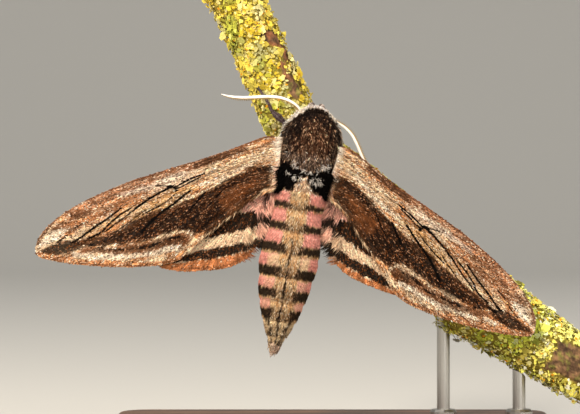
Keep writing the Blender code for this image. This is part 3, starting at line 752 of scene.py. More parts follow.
@dataclass
class Coat:
    """How the locks of one coat piece stand: a row for each lock in each field, in world millimetres.

    Lift and curl are shares of a lock's length, and one number may stand for all locks.
    """

    roots: Array
    ahead: Array
    up: Array
    length: Array
    width: Array
    height: Array | float
    lift: Array | float
    curl: Array | float
    colours: Array
    unwrap: Array

    PATCH_SIZE = 0.003

    def __post_init__(self) -> None:
        """Spreads each single number over all locks."""
        for label in ("height", "lift", "curl"):
            setattr(self, label, np.broadcast_to(getattr(self, label), len(self.roots)))

    def grow(self, name: str, shape: LockShape, root_shade: float = 0.7) -> Piece:
        """Makes one mesh of all the locks.

        Args:
            name: The piece's name.
            shape: The form that each lock is copied from.
            root_shade: How much of its colour's light a lock keeps at its root.

        Returns:
            The piece, with its colours and its OFBake map.
        """
        points = np.array(shape.points, float)
        along, across, thick = points.T
        up = unit(self.up)
        ahead = unit(self.ahead - up * np.sum(self.ahead * up, axis=1, keepdims=True))
        aside = np.cross(up, ahead)
        rise = self.lift[:, None] * along + self.curl[:, None] * along**2
        rows = (
            self.roots[:, None]
            + ahead[:, None] * (self.length[:, None] * along)[..., None]
            + aside[:, None] * (self.width[:, None] * across)[..., None]
            + up[:, None] * (self.height[:, None] * thick + self.length[:, None] * rise)[..., None]
        )
        count, size = len(self.roots), len(points)
        faces = (np.array(shape.faces) + (np.arange(count) * size)[:, None, None]).reshape(-1, 3)
        piece = mesh_from_arrays(name, rows.reshape(-1, 3), faces)
        shade = np.array(shape.light) if shape.light else root_shade + (1 - root_shade) * along
        colour_vertices(piece, (self.colours[:, None] * shade[None, :, None]).reshape(-1, 3))
        flat = self.unwrap[:, None] + np.column_stack((along - 0.5, across))[None] * self.PATCH_SIZE
        layer = piece.data.uv_layers.new(name="OFBake")
        layer.data.foreach_set("uv", flat.reshape(-1, 2)[faces.ravel()].ravel())
        return piece


def mesh_from_arrays(name: str, rows: Array, faces: Array) -> Piece:
    """A mesh object of world millimetres and triangles.

    Args:
        name: The piece's name.
        rows: Its vertices.
        faces: Rows of three vertex numbers.

    Returns:
        The piece.
    """
    mesh = bpy.data.meshes.new(name)
    mesh.vertices.add(len(rows))
    mesh.vertices.foreach_set("co", (rows * MM).ravel())
    mesh.loops.add(faces.size)
    mesh.loops.foreach_set("vertex_index", faces.ravel().astype(np.int32))
    mesh.polygons.add(len(faces))
    mesh.polygons.foreach_set("loop_start", np.arange(0, faces.size, 3, dtype=np.int32))
    mesh.update(calc_edges=True)
    piece = bpy.data.objects.new(name, mesh)
    bpy.context.scene.collection.objects.link(piece)
    return piece


def turned_about(vectors: Array, axes: Array, turns: Array) -> Array:
    """Turns each vector about its own axis, which stands square to it."""
    return vectors * np.cos(turns)[:, None] + np.cross(axes, vectors) * np.sin(turns)[:, None]


def unwrapped_round(points: Array) -> Array:
    """Unwraps places on a long round form: the turn round its long axis and the share along it.

    Args:
        points: Rows of places.

    Returns:
        Rows of places on the bake map.
    """
    middle = points.mean(axis=0)
    _, _, axes = np.linalg.svd(points[:: max(len(points) // 2000, 1)] - middle, full_matrices=False)
    along, first, second = ((points - middle) @ axes.T).T
    share = (along - along.min()) / max(np.ptp(along), 1e-9)
    return bake_map(np.arctan2(second, first) / TAU + 0.5, share)


# The body's named sizes: station along the body, half width, half height, and the middle's x and z.
THORAX_SECTIONS = (
    (7.45, 1.5, 0.9, 0.30, 1.4), (7.0, 2.9, 1.9, 0.30, 1.3), (6.0, 4.0, 2.9, 0.30, 1.1),
    (4.5, 5.1, 3.9, 0.30, 0.8), (2.5, 5.8, 4.8, 0.30, 0.3), (0.0, 6.0, 5.2, 0.30, 0.0),
    (-3.0, 5.8, 5.1, 0.20, -0.1), (-6.0, 5.2, 4.8, 0.15, -0.1), (-7.8, 4.7, 4.4, 0.15, -0.1),
)
ABDOMEN_SECTIONS = (
    (-8.1, 4.5, 4.2, 0.15, -0.1), (-12.0, 4.8, 4.5, 0.05, -0.2), (-16.0, 5.1, 4.7, 0.0, -0.4),
    (-20.0, 5.6, 4.9, -0.2, -0.6), (-24.0, 5.2, 4.6, -0.25, -0.9), (-28.0, 4.5, 4.0, -0.30, -1.2),
    (-32.0, 3.3, 2.9, -0.25, -1.5), (-35.0, 2.1, 1.8, -0.25, -1.7), (-37.2, 1.4, 1.0, -0.3, -1.9),
    (-38.3, 0.85, 0.5, -0.4, -2.0),
)
WAIST = -8.0
SEGMENT_ENDS = (-8.1, -11.4, -15.2, -19.4, -23.8, -28.1, -31.8, -34.8, -38.4)
HEAD_MIDDLE = (0.3, 5.7, -2.4)


def sections_at(sections: Plan, stations: Array) -> Array:
    """Half width, half height and middle of a body at stations, by smooth interpolation.

    Args:
        sections: The body's sections, front first.
        stations: Stations along the body.

    Returns:
        A row of four numbers for each station.
    """
    rows = np.array(sections)
    shares = np.interp(-stations, -rows[:, 0], np.arange(len(rows)))
    index = np.clip(shares.astype(int), 0, len(rows) - 2)
    t = (shares - index)[:, None]
    before, start = rows[np.maximum(index - 1, 0), 1:], rows[index, 1:]
    end, after = rows[index + 1, 1:], rows[np.minimum(index + 2, len(rows) - 1), 1:]
    return spline(before, start, end, after, t)


@dataclass(frozen=True)
class VeinLine:
    """A vein from its root station on the thorax's side to the wing's margin, and where its ridge begins."""

    root: float
    ridge_from: float | None
    points: Plan


FOREWING_LINES = (
    VeinLine(1.5, None, ((8.0, 1.2), (12.0, -1.0), (16.0, -3.25), (20.0, -5.3), (24.0, -7.2), (28.0, -9.25))),
    VeinLine(0.7, 0.0, ((12.0, -2.0), (20.0, -6.4), (27.0, -9.9))),
    VeinLine(-0.1, 0.3, ((12.0, -2.9), (20.0, -7.5), (29.0, -12.0))),
    VeinLine(-1.0, 0.4, ((12.0, -3.8), (20.0, -8.6), (30.0, -14.3), (38.0, -18.4))),
    VeinLine(-1.8, 0.0, ((12.0, -4.6), (20.0, -9.5), (30.0, -15.6), (38.0, -20.4))),
    VeinLine(-2.6, 0.42, ((12.0, -5.3), (20.0, -10.4), (30.0, -17.2), (38.0, -22.8))),
    VeinLine(-3.4, 0.42, ((12.0, -6.1), (20.0, -11.5), (28.0, -17.5), (35.0, -23.3))),
    VeinLine(-4.2, 0.42, ((12.0, -7.0), (19.0, -12.2), (26.0, -18.2), (32.0, -24.2))),
    VeinLine(-5.0, 0.0, ((12.0, -7.9), (18.0, -13.0), (24.0, -19.0), (28.5, -24.3))),
    VeinLine(-5.9, 0.25, ((11.5, -8.9), (17.0, -14.0), (22.0, -19.8), (25.2, -24.2))),
    VeinLine(-6.7, 0.0, ((11.0, -10.2), (15.5, -15.2), (19.5, -20.2), (22.0, -24.0))),
    VeinLine(-7.5, None, ((8.0, -9.8), (12.0, -14.2), (16.0, -18.5), (18.8, -22.3))),
)
FOREWING_MARGIN = (
    (30.0, -10.2), (33.0, -12.0), (36.0, -14.0), (39.0, -15.95), (41.2, -17.5), (43.0, -19.4), (44.5, -21.4),
    (45.9, -23.4), (46.8, -25.1), (47.1, -26.5), (46.4, -27.3), (44.3, -27.8), (41.2, -28.0), (37.0, -27.8),
    (33.0, -27.4), (29.0, -26.75), (25.5, -26.0), (23.0, -25.3), (21.3, -24.65), (20.2, -23.9),
)
FOREWING_ENDS = (0.0, 0.07, 0.19, 0.31, 0.41, 0.49, 0.57, 0.67, 0.77, 0.85, 0.94, 1.0)

HINDWING_LINES = (
    VeinLine(-4.6, None, ((12.0, -10.0), (18.0, -15.2), (22.5, -19.4))),
    VeinLine(-5.0, 0.0, ((11.0, -10.4), (17.0, -16.0), (22.0, -21.2))),
    VeinLine(-5.5, 0.35, ((10.5, -11.0), (15.5, -17.0), (20.0, -22.3))),
    VeinLine(-5.9, 0.0, ((10.0, -11.6), (14.0, -17.6), (17.5, -22.8))),
    VeinLine(-6.4, 0.35, ((9.4, -12.2), (12.4, -17.8), (14.8, -22.5))),
    VeinLine(-6.8, 0.0, ((8.6, -12.6), (10.6, -17.6), (12.0, -22.0))),
    VeinLine(-7.2, 0.0, ((7.6, -12.6), (8.6, -17.0), (9.0, -20.4))),
    VeinLine(-7.6, None, ((5.1, -11.0), (5.15, -14.5), (5.55, -16.8))),
)
HINDWING_MARGIN = (
    (24.3, -21.2), (25.6, -23.2), (25.6, -24.9), (24.2, -25.6), (22.0, -26.0), (20.0, -26.0), (17.5, -25.6),
    (15.0, -25.0), (12.3, -24.3), (10.2, -23.3), (8.6, -22.0), (7.4, -20.6), (6.5, -19.4), (6.0, -18.2),
)
HINDWING_ENDS = (0.0, 0.11, 0.24, 0.39, 0.54, 0.69, 0.83, 1.0)

# The tips droop away from the camera, so the plan is spread by this share for each millimetre outwards.
WING_SPREAD = 0.0004


def spread_out(plan: Array, back: bool = False) -> Array:
    """Places of a wing's plan as measured, spread to their true distance from the body, or back."""
    return plan * np.column_stack((1 + (-1 if back else 1) * WING_SPREAD * plan[:, 0], np.ones(len(plan))))


class Tone(StrEnum):
    """The moth's colours, by what wears them."""

    TAN = "#c98b5a"
    CREAM = "#efcda6"
    PALE = "#ffe8cd"
    COSTA = "#74442a"
    COSTA_GREY = "#b07a5a"
    FIELD = "#3a2212"
    FIELD_DARK = "#22150c"
    FIELD_WARM = "#8f5128"
    BLACK = "#060403"
    MARGIN = "#cf8c5c"
    OUTER = "#b07650"
    WING_UNDERSIDE = "#a3846c"
    HINDWING_CREAM = "#fcd5b0"
    HINDWING_PINK = "#f6b4a2"
    THORAX = "#1d1410"
    THORAX_SIDE = "#4b423b"
    THORAX_MIDDLE = "#5c3b28"
    COLLAR = "#f6e2cc"
    WISP = "#fbf1e6"
    HEAD = "#e3cdc0"
    PINK = "#f8a798"
    ABDOMEN_CREAM = "#f8dcae"
    ABDOMEN_TAN = "#dca671"
    ABDOMEN_BLACK = "#241b15"
    UNDERSIDE = "#cbb0a0"
    TAIL = "#f2cdb8"
    LEG = "#4b383a"
    FEELER = "#f6f2ea"
    FEELER_UNDER = "#b9934f"
    TONGUE = "#4a2c18"


# Thin black lines along the forewing's veins, and the spot where they meet.
VEIN_STREAKS = tuple(
    stripe(Tone.BLACK, points, start, end, edge=(0.08, 0.1, strength))
    for points, start, end, strength in (
        (((18.0, -7.3), (20.5, -8.8), (21.9, -9.8), (23.0, -10.6)), 0.08, 0.12, 1.0),
        (((18.7, -8.1), (20.7, -9.5), (21.6, -10.3), (22.8, -11.0)), 0.06, 0.11, 0.95),
        (((22.6, -11.2), (23.2, -10.6), (24.0, -10.8)), 0.2, 0.26, 1.0),
        (((24.4, -10.7), (26.5, -11.0)), 0.07, 0.04, 0.8),
        (((23.8, -10.8), (25.9, -12.4), (27.8, -14.1), (29.4, -15.6)), 0.15, 0.15, 1.0),
        (((29.4, -15.6), (31.0, -17.5), (33.0, -19.5), (34.3, -20.9)), 0.13, 0.1, 0.95),
        (((30.2, -15.7), (31.8, -17.1), (33.7, -19.2), (35.0, -21.1), (37.2, -22.7)), 0.09, 0.16, 1.0),
        (((32.2, -16.2), (34.1, -18.3), (36.0, -20.1), (37.6, -21.7), (39.2, -23.4), (40.1, -24.0)),
         0.09, 0.2, 1.0),
        (((38.4, -20.0), (40.3, -21.6), (41.3, -23.0), (42.9, -24.6)), 0.07, 0.12, 0.9),
        (((20.0, -10.8), (21.0, -11.8), (22.7, -13.7), (24.6, -15.6), (26.3, -17.7), (27.7, -19.9)),
         0.14, 0.24, 1.0),
        (((22.6, -11.9), (24.6, -14.0), (26.8, -15.7), (28.0, -16.6)), 0.07, 0.12, 0.75),
        (((17.3, -10.7), (18.4, -12.4), (19.6, -14.4)), 0.13, 0.17, 0.95),
        (((14.3, -9.9), (16.5, -13.3)), 0.1, 0.12, 0.75),
        (((27.6, -15.6), (30.4, -18.6), (32.4, -20.6)), 0.07, 0.12, 0.7),
        (((27.2, -13.2), (30.2, -15.6)), 0.06, 0.08, 0.6),
        (((30.5, -12.4), (34.5, -15.2), (38.3, -18.4)), 0.05, 0.07, 0.5),
        (((12.5, -4.2), (16.5, -6.6)), 0.06, 0.08, 0.5),
        (((7.0, -0.6), (11.0, -3.4)), 0.06, 0.08, 0.5),
    )
)

FOREWING_MARKS = (
    # The front edge: brown dust, darkest beyond the root, with a red-brown rim.
    stripe(Tone.COSTA_GREY, ((12, -1.6), (20, -5.9), (28, -9.9), (36, -14.6), (41, -18.4)), 0.9, 1.4,
           edge=(0.6, 0.5, 0.8)),
    patch(Tone.OUTER, ((25, -9), (30, -11.2), (36, -14.8), (41, -18.2), (43.8, -22), (41, -22.4), (36, -20),
          (32, -16.6), (28.5, -13.2)), edge=(1.0, 1.1, 0.75)),
    stripe("#4a2e1c", ((11.5, -1.6), (15, -3.5), (19.8, -6.0)), 0.4, 0.55, edge=(0.3, 0.5, 0.9)),
    stripe("#3a2416", ((6.4, 0.2), (8.2, -0.6)), 0.1, 0.14, edge=(0.12, 0.2, 0.8)),
    stripe(Tone.COSTA, ((6.2, 1.9), (8, 1.1), (12, -0.9), (20, -5.2), (28, -9.2), (36, -13.9), (41.2, -17.4),
           (44.5, -21.3), (46.4, -25.4)), 0.28, 0.32, edge=(0.12, 0.1, 0.85)),
    # The pale middle of the wing.
    stripe(Tone.CREAM, ((6.2, -1.0), (9, -2.9), (13, -5.3), (17, -7.4)), 1.2, 0.9, edge=(0.6, 0.8, 0.6)),
    patch(Tone.PALE, ((18.5, -6.8), (22, -7.8), (26.5, -9.8), (30, -12.4), (27, -12.2), (23.5, -10.6),
          (20, -9.0)), edge=(0.6, 0.8, 0.5)),
    patch("#c99a63", ((18.5, -9.6), (23.5, -11.4), (27, -14.4), (30.5, -17.8), (29.2, -18.6), (25.5, -16.4),
          (21.8, -13.4)), edge=(0.5, 0.6, 0.75)),
    stripe("#d6a976", ((30.5, -15.8), (34, -19.0), (37.5, -21.8)), 0.5, 0.5, edge=(0.4, 0.5, 0.6)),
    stripe("#f0d8c4", ((22.1, -8.2), (25.6, -10.3), (30.0, -12.5), (32.6, -13.7)), 0.5, 0.3,
           edge=(0.5, 0.8, 0.6)),
    stripe(Tone.PALE, ((9.5, -3.6), (13.1, -6.5), (15.8, -8.3), (18.6, -9.6)), 0.35, 0.3,
           edge=(0.35, 0.6, 0.7)),
    # The dark field along the inner edge.
    patch(Tone.FIELD, ((5.7, -4.3), (7.5, -4.0), (10, -5.2), (12, -6.7), (14, -8.3), (16, -9.8), (18, -11.2),
          (20, -12.4), (21.4, -13.3), (23.2, -14.2), (25.0, -15.2), (27.1, -16.6), (29.8, -18.4),
          (32.0, -20.1), (34.1, -21.5), (36.7, -22.7), (38.5, -23.7), (37.4, -23.9), (34.8, -23.8),
          (33.1, -23.5), (30.8, -22.5), (28, -21.7), (26, -21.0), (24, -19.8), (22, -18.6), (20, -18.3),
          (17.5, -18.6), (15, -17.6), (12, -14.6), (9, -10.8), (5.8, -7.6)), edge=(0.3, 0.8, 0.97)),
    patch(Tone.FIELD_WARM, ((8.4, -7.2), (10.5, -8.0), (12.5, -9.4), (15, -11.4), (17.4, -14), (14.8, -14.2),
          (11.8, -12.2), (9.4, -9.8)), edge=(1.2, 1.8, 0.4)),
    patch(Tone.FIELD_DARK, ((15, -11.8), (18.5, -12.6), (22, -14.4), (25.5, -16.5), (29, -19), (32, -21),
          (35.5, -23), (31, -22.6), (27, -21.4), (24, -19.6), (20, -18.0), (17, -18.0), (13, -14.9)),
          edge=(0.8, 1.0, 0.92)),
    stripe(Tone.FIELD_DARK, ((6.4, -4.8), (9, -5.4), (12, -7.4), (15, -9.8), (18, -11.8)), 0.5, 0.7,
           edge=(0.5, 0.7, 0.85)),
    # The cream hair of the wing's root, beside the thorax.
    stripe(Tone.COLLAR, ((5.5, 3.4), (5.8, 1.6), (5.9, -0.6), (5.7, -2.6), (5.4, -4.6)), 0.9, 0.7,
           edge=(0.5, 0.5, 0.9)),
    *VEIN_STREAKS,
    stripe("#6d5a4c", ((31.5, -12.4), (35, -14.8), (38.6, -17.2)), 0.1, 0.12, edge=(0.1, 0.15, 0.7)),
    # The dark wedge that runs into the tip.
    patch(Tone.FIELD_DARK, ((40.1, -23.4), (41.8, -24.2), (43.9, -25.4), (46.0, -26.9), (44.7, -27.2),
          (42.3, -27.0), (40.0, -26.2), (38.4, -25.1), (38.0, -23.8)), edge=(0.3, 0.5, 0.95)),
    # Brown smudges of the outer part.
    stripe("#5f3f2a", ((37.8, -17.8), (40.2, -19.4)), 0.35, 0.5, edge=(0.4, 0.6, 0.7)),
    stripe("#5f3f2a", ((41.8, -19.9), (43.8, -22.2)), 0.3, 0.35, edge=(0.3, 0.5, 0.75)),
    patch(Tone.CREAM, ((37.2, -20.1), (39.2, -21.5), (40.5, -23.1), (40.3, -23.8), (39.2, -23.0),
          (37.9, -21.7)), edge=(0.3, 0.5, 0.75)),
    # The pale wedge that runs into the tip.
    patch(Tone.PALE, ((41.1, -21.8), (42.2, -21.6), (44.0, -22.7), (45.4, -24.4), (46.3, -26.4),
          (44.7, -25.3), (42.8, -24.0), (41.6, -23.0)), edge=(0.22, 0.4, 0.95)),
    # The outer border: a pale hook, speckled brown, a wavy black line, a pale band and the tan margin.
    patch("#6b452e", ((17.5, -18.6), (20, -18.6), (24, -20.6), (28, -22.2), (33, -23.8), (38.0, -24.4),
          (38.5, -25.4), (34, -25.2), (28, -24.4), (24, -23.2), (20.2, -21.6)), edge=(0.4, 0.6, 0.8)),
    patch(Tone.FIELD, ((18.8, -20.0), (20.6, -19.5), (23, -20.6), (25, -21.9), (23, -22.6), (20.4, -22.2)),
          edge=(0.4, 1.1, 0.7)),
    stripe(Tone.CREAM, ((25.6, -20.9), (23.3, -19.7), (21.4, -18.9), (19.6, -18.5), (18.5, -19.2),
           (18.3, -20.4)), 0.16, 0.34, edge=(0.2, 0.4, 0.85)),
    stripe(Tone.BLACK, ((20.8, -19.6), (22.4, -20.2), (24.2, -21.2), (25.9, -22.3), (28.2, -23.0),
           (30.5, -23.7), (32.4, -23.9), (33.8, -24.4), (35.1, -24.0), (37.4, -23.9), (38.6, -24.2)), 0.18,
           0.22, edge=(0.15, 0.6, 0.95)),
    stripe(Tone.PALE, ((20.9, -21.7), (22.8, -22.5), (25.6, -23.7), (28.5, -24.6), (32.1, -25.4),
           (35.4, -25.8), (38.3, -26.1), (39.4, -26.2)), 0.42, 0.24, edge=(0.3, 0.6, 0.85)),
    patch(Tone.MARGIN, ((20, -23.2), (22.5, -24.3), (26, -25.2), (30, -25.9), (34, -26.3), (38, -26.7),
          (42, -26.9), (46.3, -26.8), (46, -28.4), (36, -28.6), (26, -27.2), (20, -24.9)),
          edge=(0.25, 0.3, 0.85)),
    stripe(Tone.COSTA, ((20.8, -24.0), (25.5, -25.7), (29, -26.5), (33, -27.1), (37, -27.5), (41, -27.7),
           (44, -27.5), (46.4, -27.0)), 0.1, 0.1, edge=(0.08, 0.06, 0.85)),
    # The pale line of the inner edge.
    stripe(Tone.CREAM, ((6.6, -8.1), (8, -9.95), (12, -14.25), (16, -18.6), (18.8, -22.3)), 0.1, 0.1,
           edge=(0.12, 0.1, 0.9)),
)

HINDWING_MARKS = (
    patch(Tone.HINDWING_PINK, ((4, -7.5), (9, -8.5), (13, -12.4), (9.5, -13.2), (4, -13.2)),
          edge=(0.6, 0.5, 0.9)),
    patch(Tone.HINDWING_PINK, ((3.5, -13.4), (6.6, -14.4), (7.8, -16.4), (6.5, -17.2), (3.5, -16.2)),
          edge=(0.8, 0.5, 0.7)),
    stripe(Tone.BLACK, ((6.1, -9.2), (6.5, -11.0)), 0.5, 0.4, edge=(0.3, 0.6, 0.95)),
    patch(Tone.BLACK, ((4, -12.4), (6, -12.5), (8, -12.8), (10, -13.2), (12, -13.7), (15, -14.9), (18, -16.3),
          (25, -19.5), (26, -23), (22, -21.8), (18, -20.2), (15, -18.9), (12, -17.6), (10, -16.7), (8, -15.8),
          (6, -14.5), (4, -13.9)), edge=(0.25, 0.6, 0.98)),
    patch(Tone.BLACK, ((4, -16.2), (6, -16.8), (8, -18.2), (10, -19.1), (12, -19.9), (15, -21), (18, -22.1),
          (22, -23.5), (26, -24.8), (26, -26), (22, -25), (18, -23.9), (15, -23), (12, -21.9), (10, -21.1),
          (8, -20.1), (6, -18.8), (4, -18.4)), edge=(0.25, 0.5, 0.98)),
    patch("#bd7444", ((4, -18.4), (6, -18.8), (8, -20.1), (10, -21.1), (12, -21.9), (15, -23), (18, -23.9),
          (22, -25), (26, -26), (26, -27), (14, -26), (8, -23.6), (4, -19.5)), edge=(0.2, 0.3, 0.95)),
    stripe(Tone.COSTA, ((6.4, -18.9), (7.7, -20.4), (10.3, -22.8), (12.4, -23.9), (15, -24.6), (20, -25.6)),
           0.12, 0.12, edge=(0.1, 0.06, 0.85)),
)


@dataclass
class Wing:
    """One wing: its plan between vein lines, its raised veins, its markings and its scales."""

    name: str
    side: int
    lines: tuple[VeinLine, ...]
    margin: Plan
    ends: tuple[float, ...]
    marks: tuple[Mark, ...]
    ground: tuple[str, str]
    slot: str
    drop: float = 0.0
    tuck: float = 0.0
    rows: int = 140
    columns: int = 90
    mark_tuck: float = 0.0
    streak_marks: tuple[Mark, ...] = ()
    streak_scales: int = 2600
    dust: float = 1.3
    scales: int = 23500
    scale_size: tuple[float, float] = (0.4, 0.17)
    streaks: tuple[float, float] = (16.0, 40.0)
    fibre: float = 0.55
    fringe: int = 1300
    root_hairs: int = 1500
    root_reach: float = 0.075
    root_edge: float = 5.9
    inner_hairs: int = 900
    inner_turn: float = 0.35
    inner_length: float = 1.0
    inner_fade: float = 0.8
    seed: int = 1

    AXIS_START = (6.0, -2.5)
    AXIS_END = (46.6, -26.5)
    ROOT_HEIGHT = 1.9
    DROOP = 0.145
    ROOF = 0.07
    CAMBER = 0.004
    THICKNESS = 0.22
    VEIN_HEIGHT = 0.16
    VEIN_HALF_WIDTH = 0.24
    PLEAT = 0.1
    READINGS = 64
    STREAK_TRIES = 260000

    def __post_init__(self) -> None:
        """Traces the vein lines once."""
        shares = np.linspace(0, 1, self.READINGS + 1)
        ends = trace(self.margin, np.array(self.ends))
        traced = []
        for line, end in zip(self.lines, ends):
            station = line.root + 0.5 * self.tuck
            course = spread_out(np.vstack((line.points, end)) + np.array((0.0, self.tuck)))
            traced.append(trace(np.vstack(((self.root_out(station), station), course)), shares))
        self.traced = np.array(traced)

    def root_out(self, station: float) -> float:
        """How far out the wing's root lies, on the thorax's side under the hair.

        Args:
            station: The station along the body.

        Returns:
            Millimetres from the body's middle.
        """
        height = float(self.height(np.array([[6.0, station]]))[0])
        half_width, half_height, middle_x, middle_z = sections_at(THORAX_SECTIONS, np.array([station]))[0]
        share = min(abs(height - middle_z) / half_height, 0.99)
        return half_width * math.sqrt(1 - share**2) + self.side * middle_x - 0.4

    def height(self, plan: Array) -> Array:
        """Height of the wing's middle surface over its plan.

        Args:
            plan: Rows on the plan.

        Returns:
            Heights in the moth's frame.
        """
        run = np.array(self.AXIS_END) - np.array(self.AXIS_START)
        run = run / np.linalg.norm(run)
        away = plan - np.array(self.AXIS_START)
        along = away @ run
        forward = away @ np.array((-run[1], run[0]))
        root = self.ROOT_HEIGHT - self.drop
        return root - self.DROOP * along - self.ROOF * forward - self.CAMBER * forward**2

    def read(self, along: Array, across: Array) -> tuple[Array, Array, Array]:
        """Places on the plan and the lift of veins and pleats there.

        Args:
            along: Shares from the root to the margin.
            across: Shares from the front edge to the inner edge.

        Returns:
            Rows on the plan, the height of the surface's relief, and the distance from the nearest vein.
        """
        last = len(self.lines) - 1
        place = np.clip(across * last, 0, last - 1e-6)
        line = place.astype(int)
        t = (place - line)[:, None]
        level = np.clip(along * self.READINGS, 0, self.READINGS - 1e-6)
        row = level.astype(int)
        part = (level - row)[:, None]

        def at(index: Array) -> Array:
            """Reads the lines of an index."""
            index = np.clip(index, 0, last)
            return self.traced[index, row] * (1 - part) + self.traced[index, row + 1] * part

        before, start, end, after = at(line - 1), at(line), at(line + 1), at(line + 2)
        plan = spline(before, start, end, after, t)
        spacing = np.linalg.norm(end - start, axis=1)
        nearest = np.round(place).astype(int)
        away = np.abs(place - nearest) * spacing
        begins = np.array([9.0 if v.ridge_from is None else v.ridge_from for v in self.lines])[nearest]
        rise = np.clip((along - begins) / 0.1, 0, 1) * (1 - 0.5 * along**3)
        ridge = self.VEIN_HEIGHT * rise * np.exp(-((away / self.VEIN_HALF_WIDTH) ** 2))
        pleat = self.PLEAT * np.minimum(spacing, 1.5) * np.sin(math.pi * (place - line)) ** 2 * rise
        return plan, ridge - pleat, away

    def place(self, plan: Array, lift: Array) -> Array:
        """World millimetres of places on the plan, raised by a lift."""
        return POSE.to_world(np.column_stack((self.side * plan[:, 0], plan[:, 1], self.height(plan) + lift)))

    def surface(self, along: Array, across: Array) -> tuple[Array, Array, Array, Array]:
        """The upper side at shares of the wing: its plan, world places, direction to the margin and normal.

        Args:
            along: Shares from the root to the margin.
            across: Shares from the front edge to the inner edge.

        Returns:
            The four, each with one row for each place.
        """
        plan, relief, _ = self.read(along, across)
        places = self.place(plan, relief + self.THICKNESS / 2)
        nearer = np.minimum(along, 0.99)
        start, end = (self.place(*self.read(nearer + step, across)[:2]) for step in (0, 0.01))
        inner = np.minimum(across, 0.996)
        left, right = (self.place(*self.read(along, inner + step)[:2]) for step in (0, 0.004))
        ahead = unit(end - start)
        up = unit(np.cross(right - left + 1e-7, ahead))
        return plan, places, ahead, up * np.sign(-up[:, 1])[:, None]

    def colours(self, along: Array, across: Array) -> Array:
        """The wing's markings at shares of it: streaks run along the veins, and so do the ragged edges.

        Args:
            along: Shares from the root to the margin.
            across: Shares from the front edge to the inner edge.

        Returns:
            Rows of linear colours.
        """
        plan, _, away = self.read(along, across)
        plan = spread_out(plan, back=True) - np.array((0.0, self.mark_tuck))
        grain = np.column_stack((along * self.streaks[0], across * self.streaks[1])) + self.seed * 7.7
        streak = smooth_step(-0.5, 0.6, noise(grain * 0.8, self.seed, 3))
        ground = mixed(*self.ground, streak)
        veined = smooth_step(0.3, 0.5, along) * smooth_step(0.2, 0.05, away)
        ground = mixed(ground, Tone.COSTA, 0.55 * veined * smooth_step(-0.3, 0.5, noise(grain, 9, 2)))
        fine = noise(grain * np.array((1.2, 1.7)), self.seed + 3, 2)
        return paint(plan, grain, ground, self.marks, 0.6) * np.exp(self.fibre * fine)[:, None]

    def speckled(self, colours: Array, draw: Draw) -> Array:
        """Makes scales differ one by one: most a little, some dark brown, some cream, few among the black.

        Args:
            colours: The markings' colours, a row for each scale.
            draw: The seeded random draw.

        Returns:
            Rows of linear colours.
        """
        count = len(colours)
        light = colours @ LUMINANCE
        pick = draw.random(count)
        bright = smooth_step(0.06, 0.3, light)
        dark = (pick < 0.3 * self.dust) * draw.uniform(0.4, 1.0, count) * smooth_step(0.05, 0.2, light)
        warm = (pick > 0.7) * draw.uniform(0.2, 0.8, count) * smooth_step(0.006, 0.01, light)
        pale = (pick > 1 - self.dust * (0.1 + 0.08 * bright)) * draw.uniform(0.2, 0.8 + 0.2 * bright, count)
        colours = mixed(colours, "#4a2a16", dark)
        colours = mixed(colours, Tone.FIELD_WARM, warm * smooth_step(0.1, 0.04, light))
        colours = mixed(colours, mixed("#d6a480", "#ffe9cf", bright),
                        pale * smooth_step(0.006, 0.01, light))
        return colours * np.exp(draw.normal(0, 0.15 + 0.11 * self.dust, count))[:, None]

    def build_membrane(self) -> None:
        """The wing itself, from a grid, with raised veins and a painted surface."""
        deselect()
        bpy.ops.mesh.primitive_grid_add(x_subdivisions=self.rows, y_subdivisions=self.columns, size=1.0)
        piece = bpy.context.active_object
        grid = places_of(piece) * MM + 0.5
        along, across = np.clip(grid[:, 0], 0, 1), np.clip(1 - grid[:, 1], 0, 1)
        plan, relief, _ = self.read(along, across)
        place_vertices(piece, self.place(plan, relief + self.THICKNESS / 2))
        colour_vertices(piece, self.colours(along, across) * 0.8)
        if self.side < 0:
            edit_all(piece, bpy.ops.mesh.flip_normals)
        apply_modifier(piece, "SOLIDIFY", thickness=self.THICKNESS * MM, offset=-1.0,
                       use_quality_normals=True)
        self.paint_underside(piece, len(plan))
        pick(piece)
        bpy.ops.object.shade_smooth()
        settle(piece, self.name + "_membrane", Finish.WING_MEMBRANE, self.slot, self.name)

    def paint_underside(self, piece: Piece, top: int) -> None:
        """Gives the underside its plainer brown, banded like a faint copy of the top.

        Args:
            piece: The solid wing, whose top vertices come first.
            top: How many of them there are.
        """
        rows = np.empty(len(piece.data.vertices) * 4)
        layer = piece.data.color_attributes["markings"]
        layer.data.foreach_get("color", rows)
        colours = rows.reshape(-1, 4)[:, :3].copy()
        below = np.arange(len(colours)) >= top
        cloud = 0.35 + 0.15 * noise(places_of(piece)[below] * 0.3, self.seed, 3)
        colours[below] = mixed(Tone.WING_UNDERSIDE, colours[below], cloud)
        colour_vertices(piece, colours)

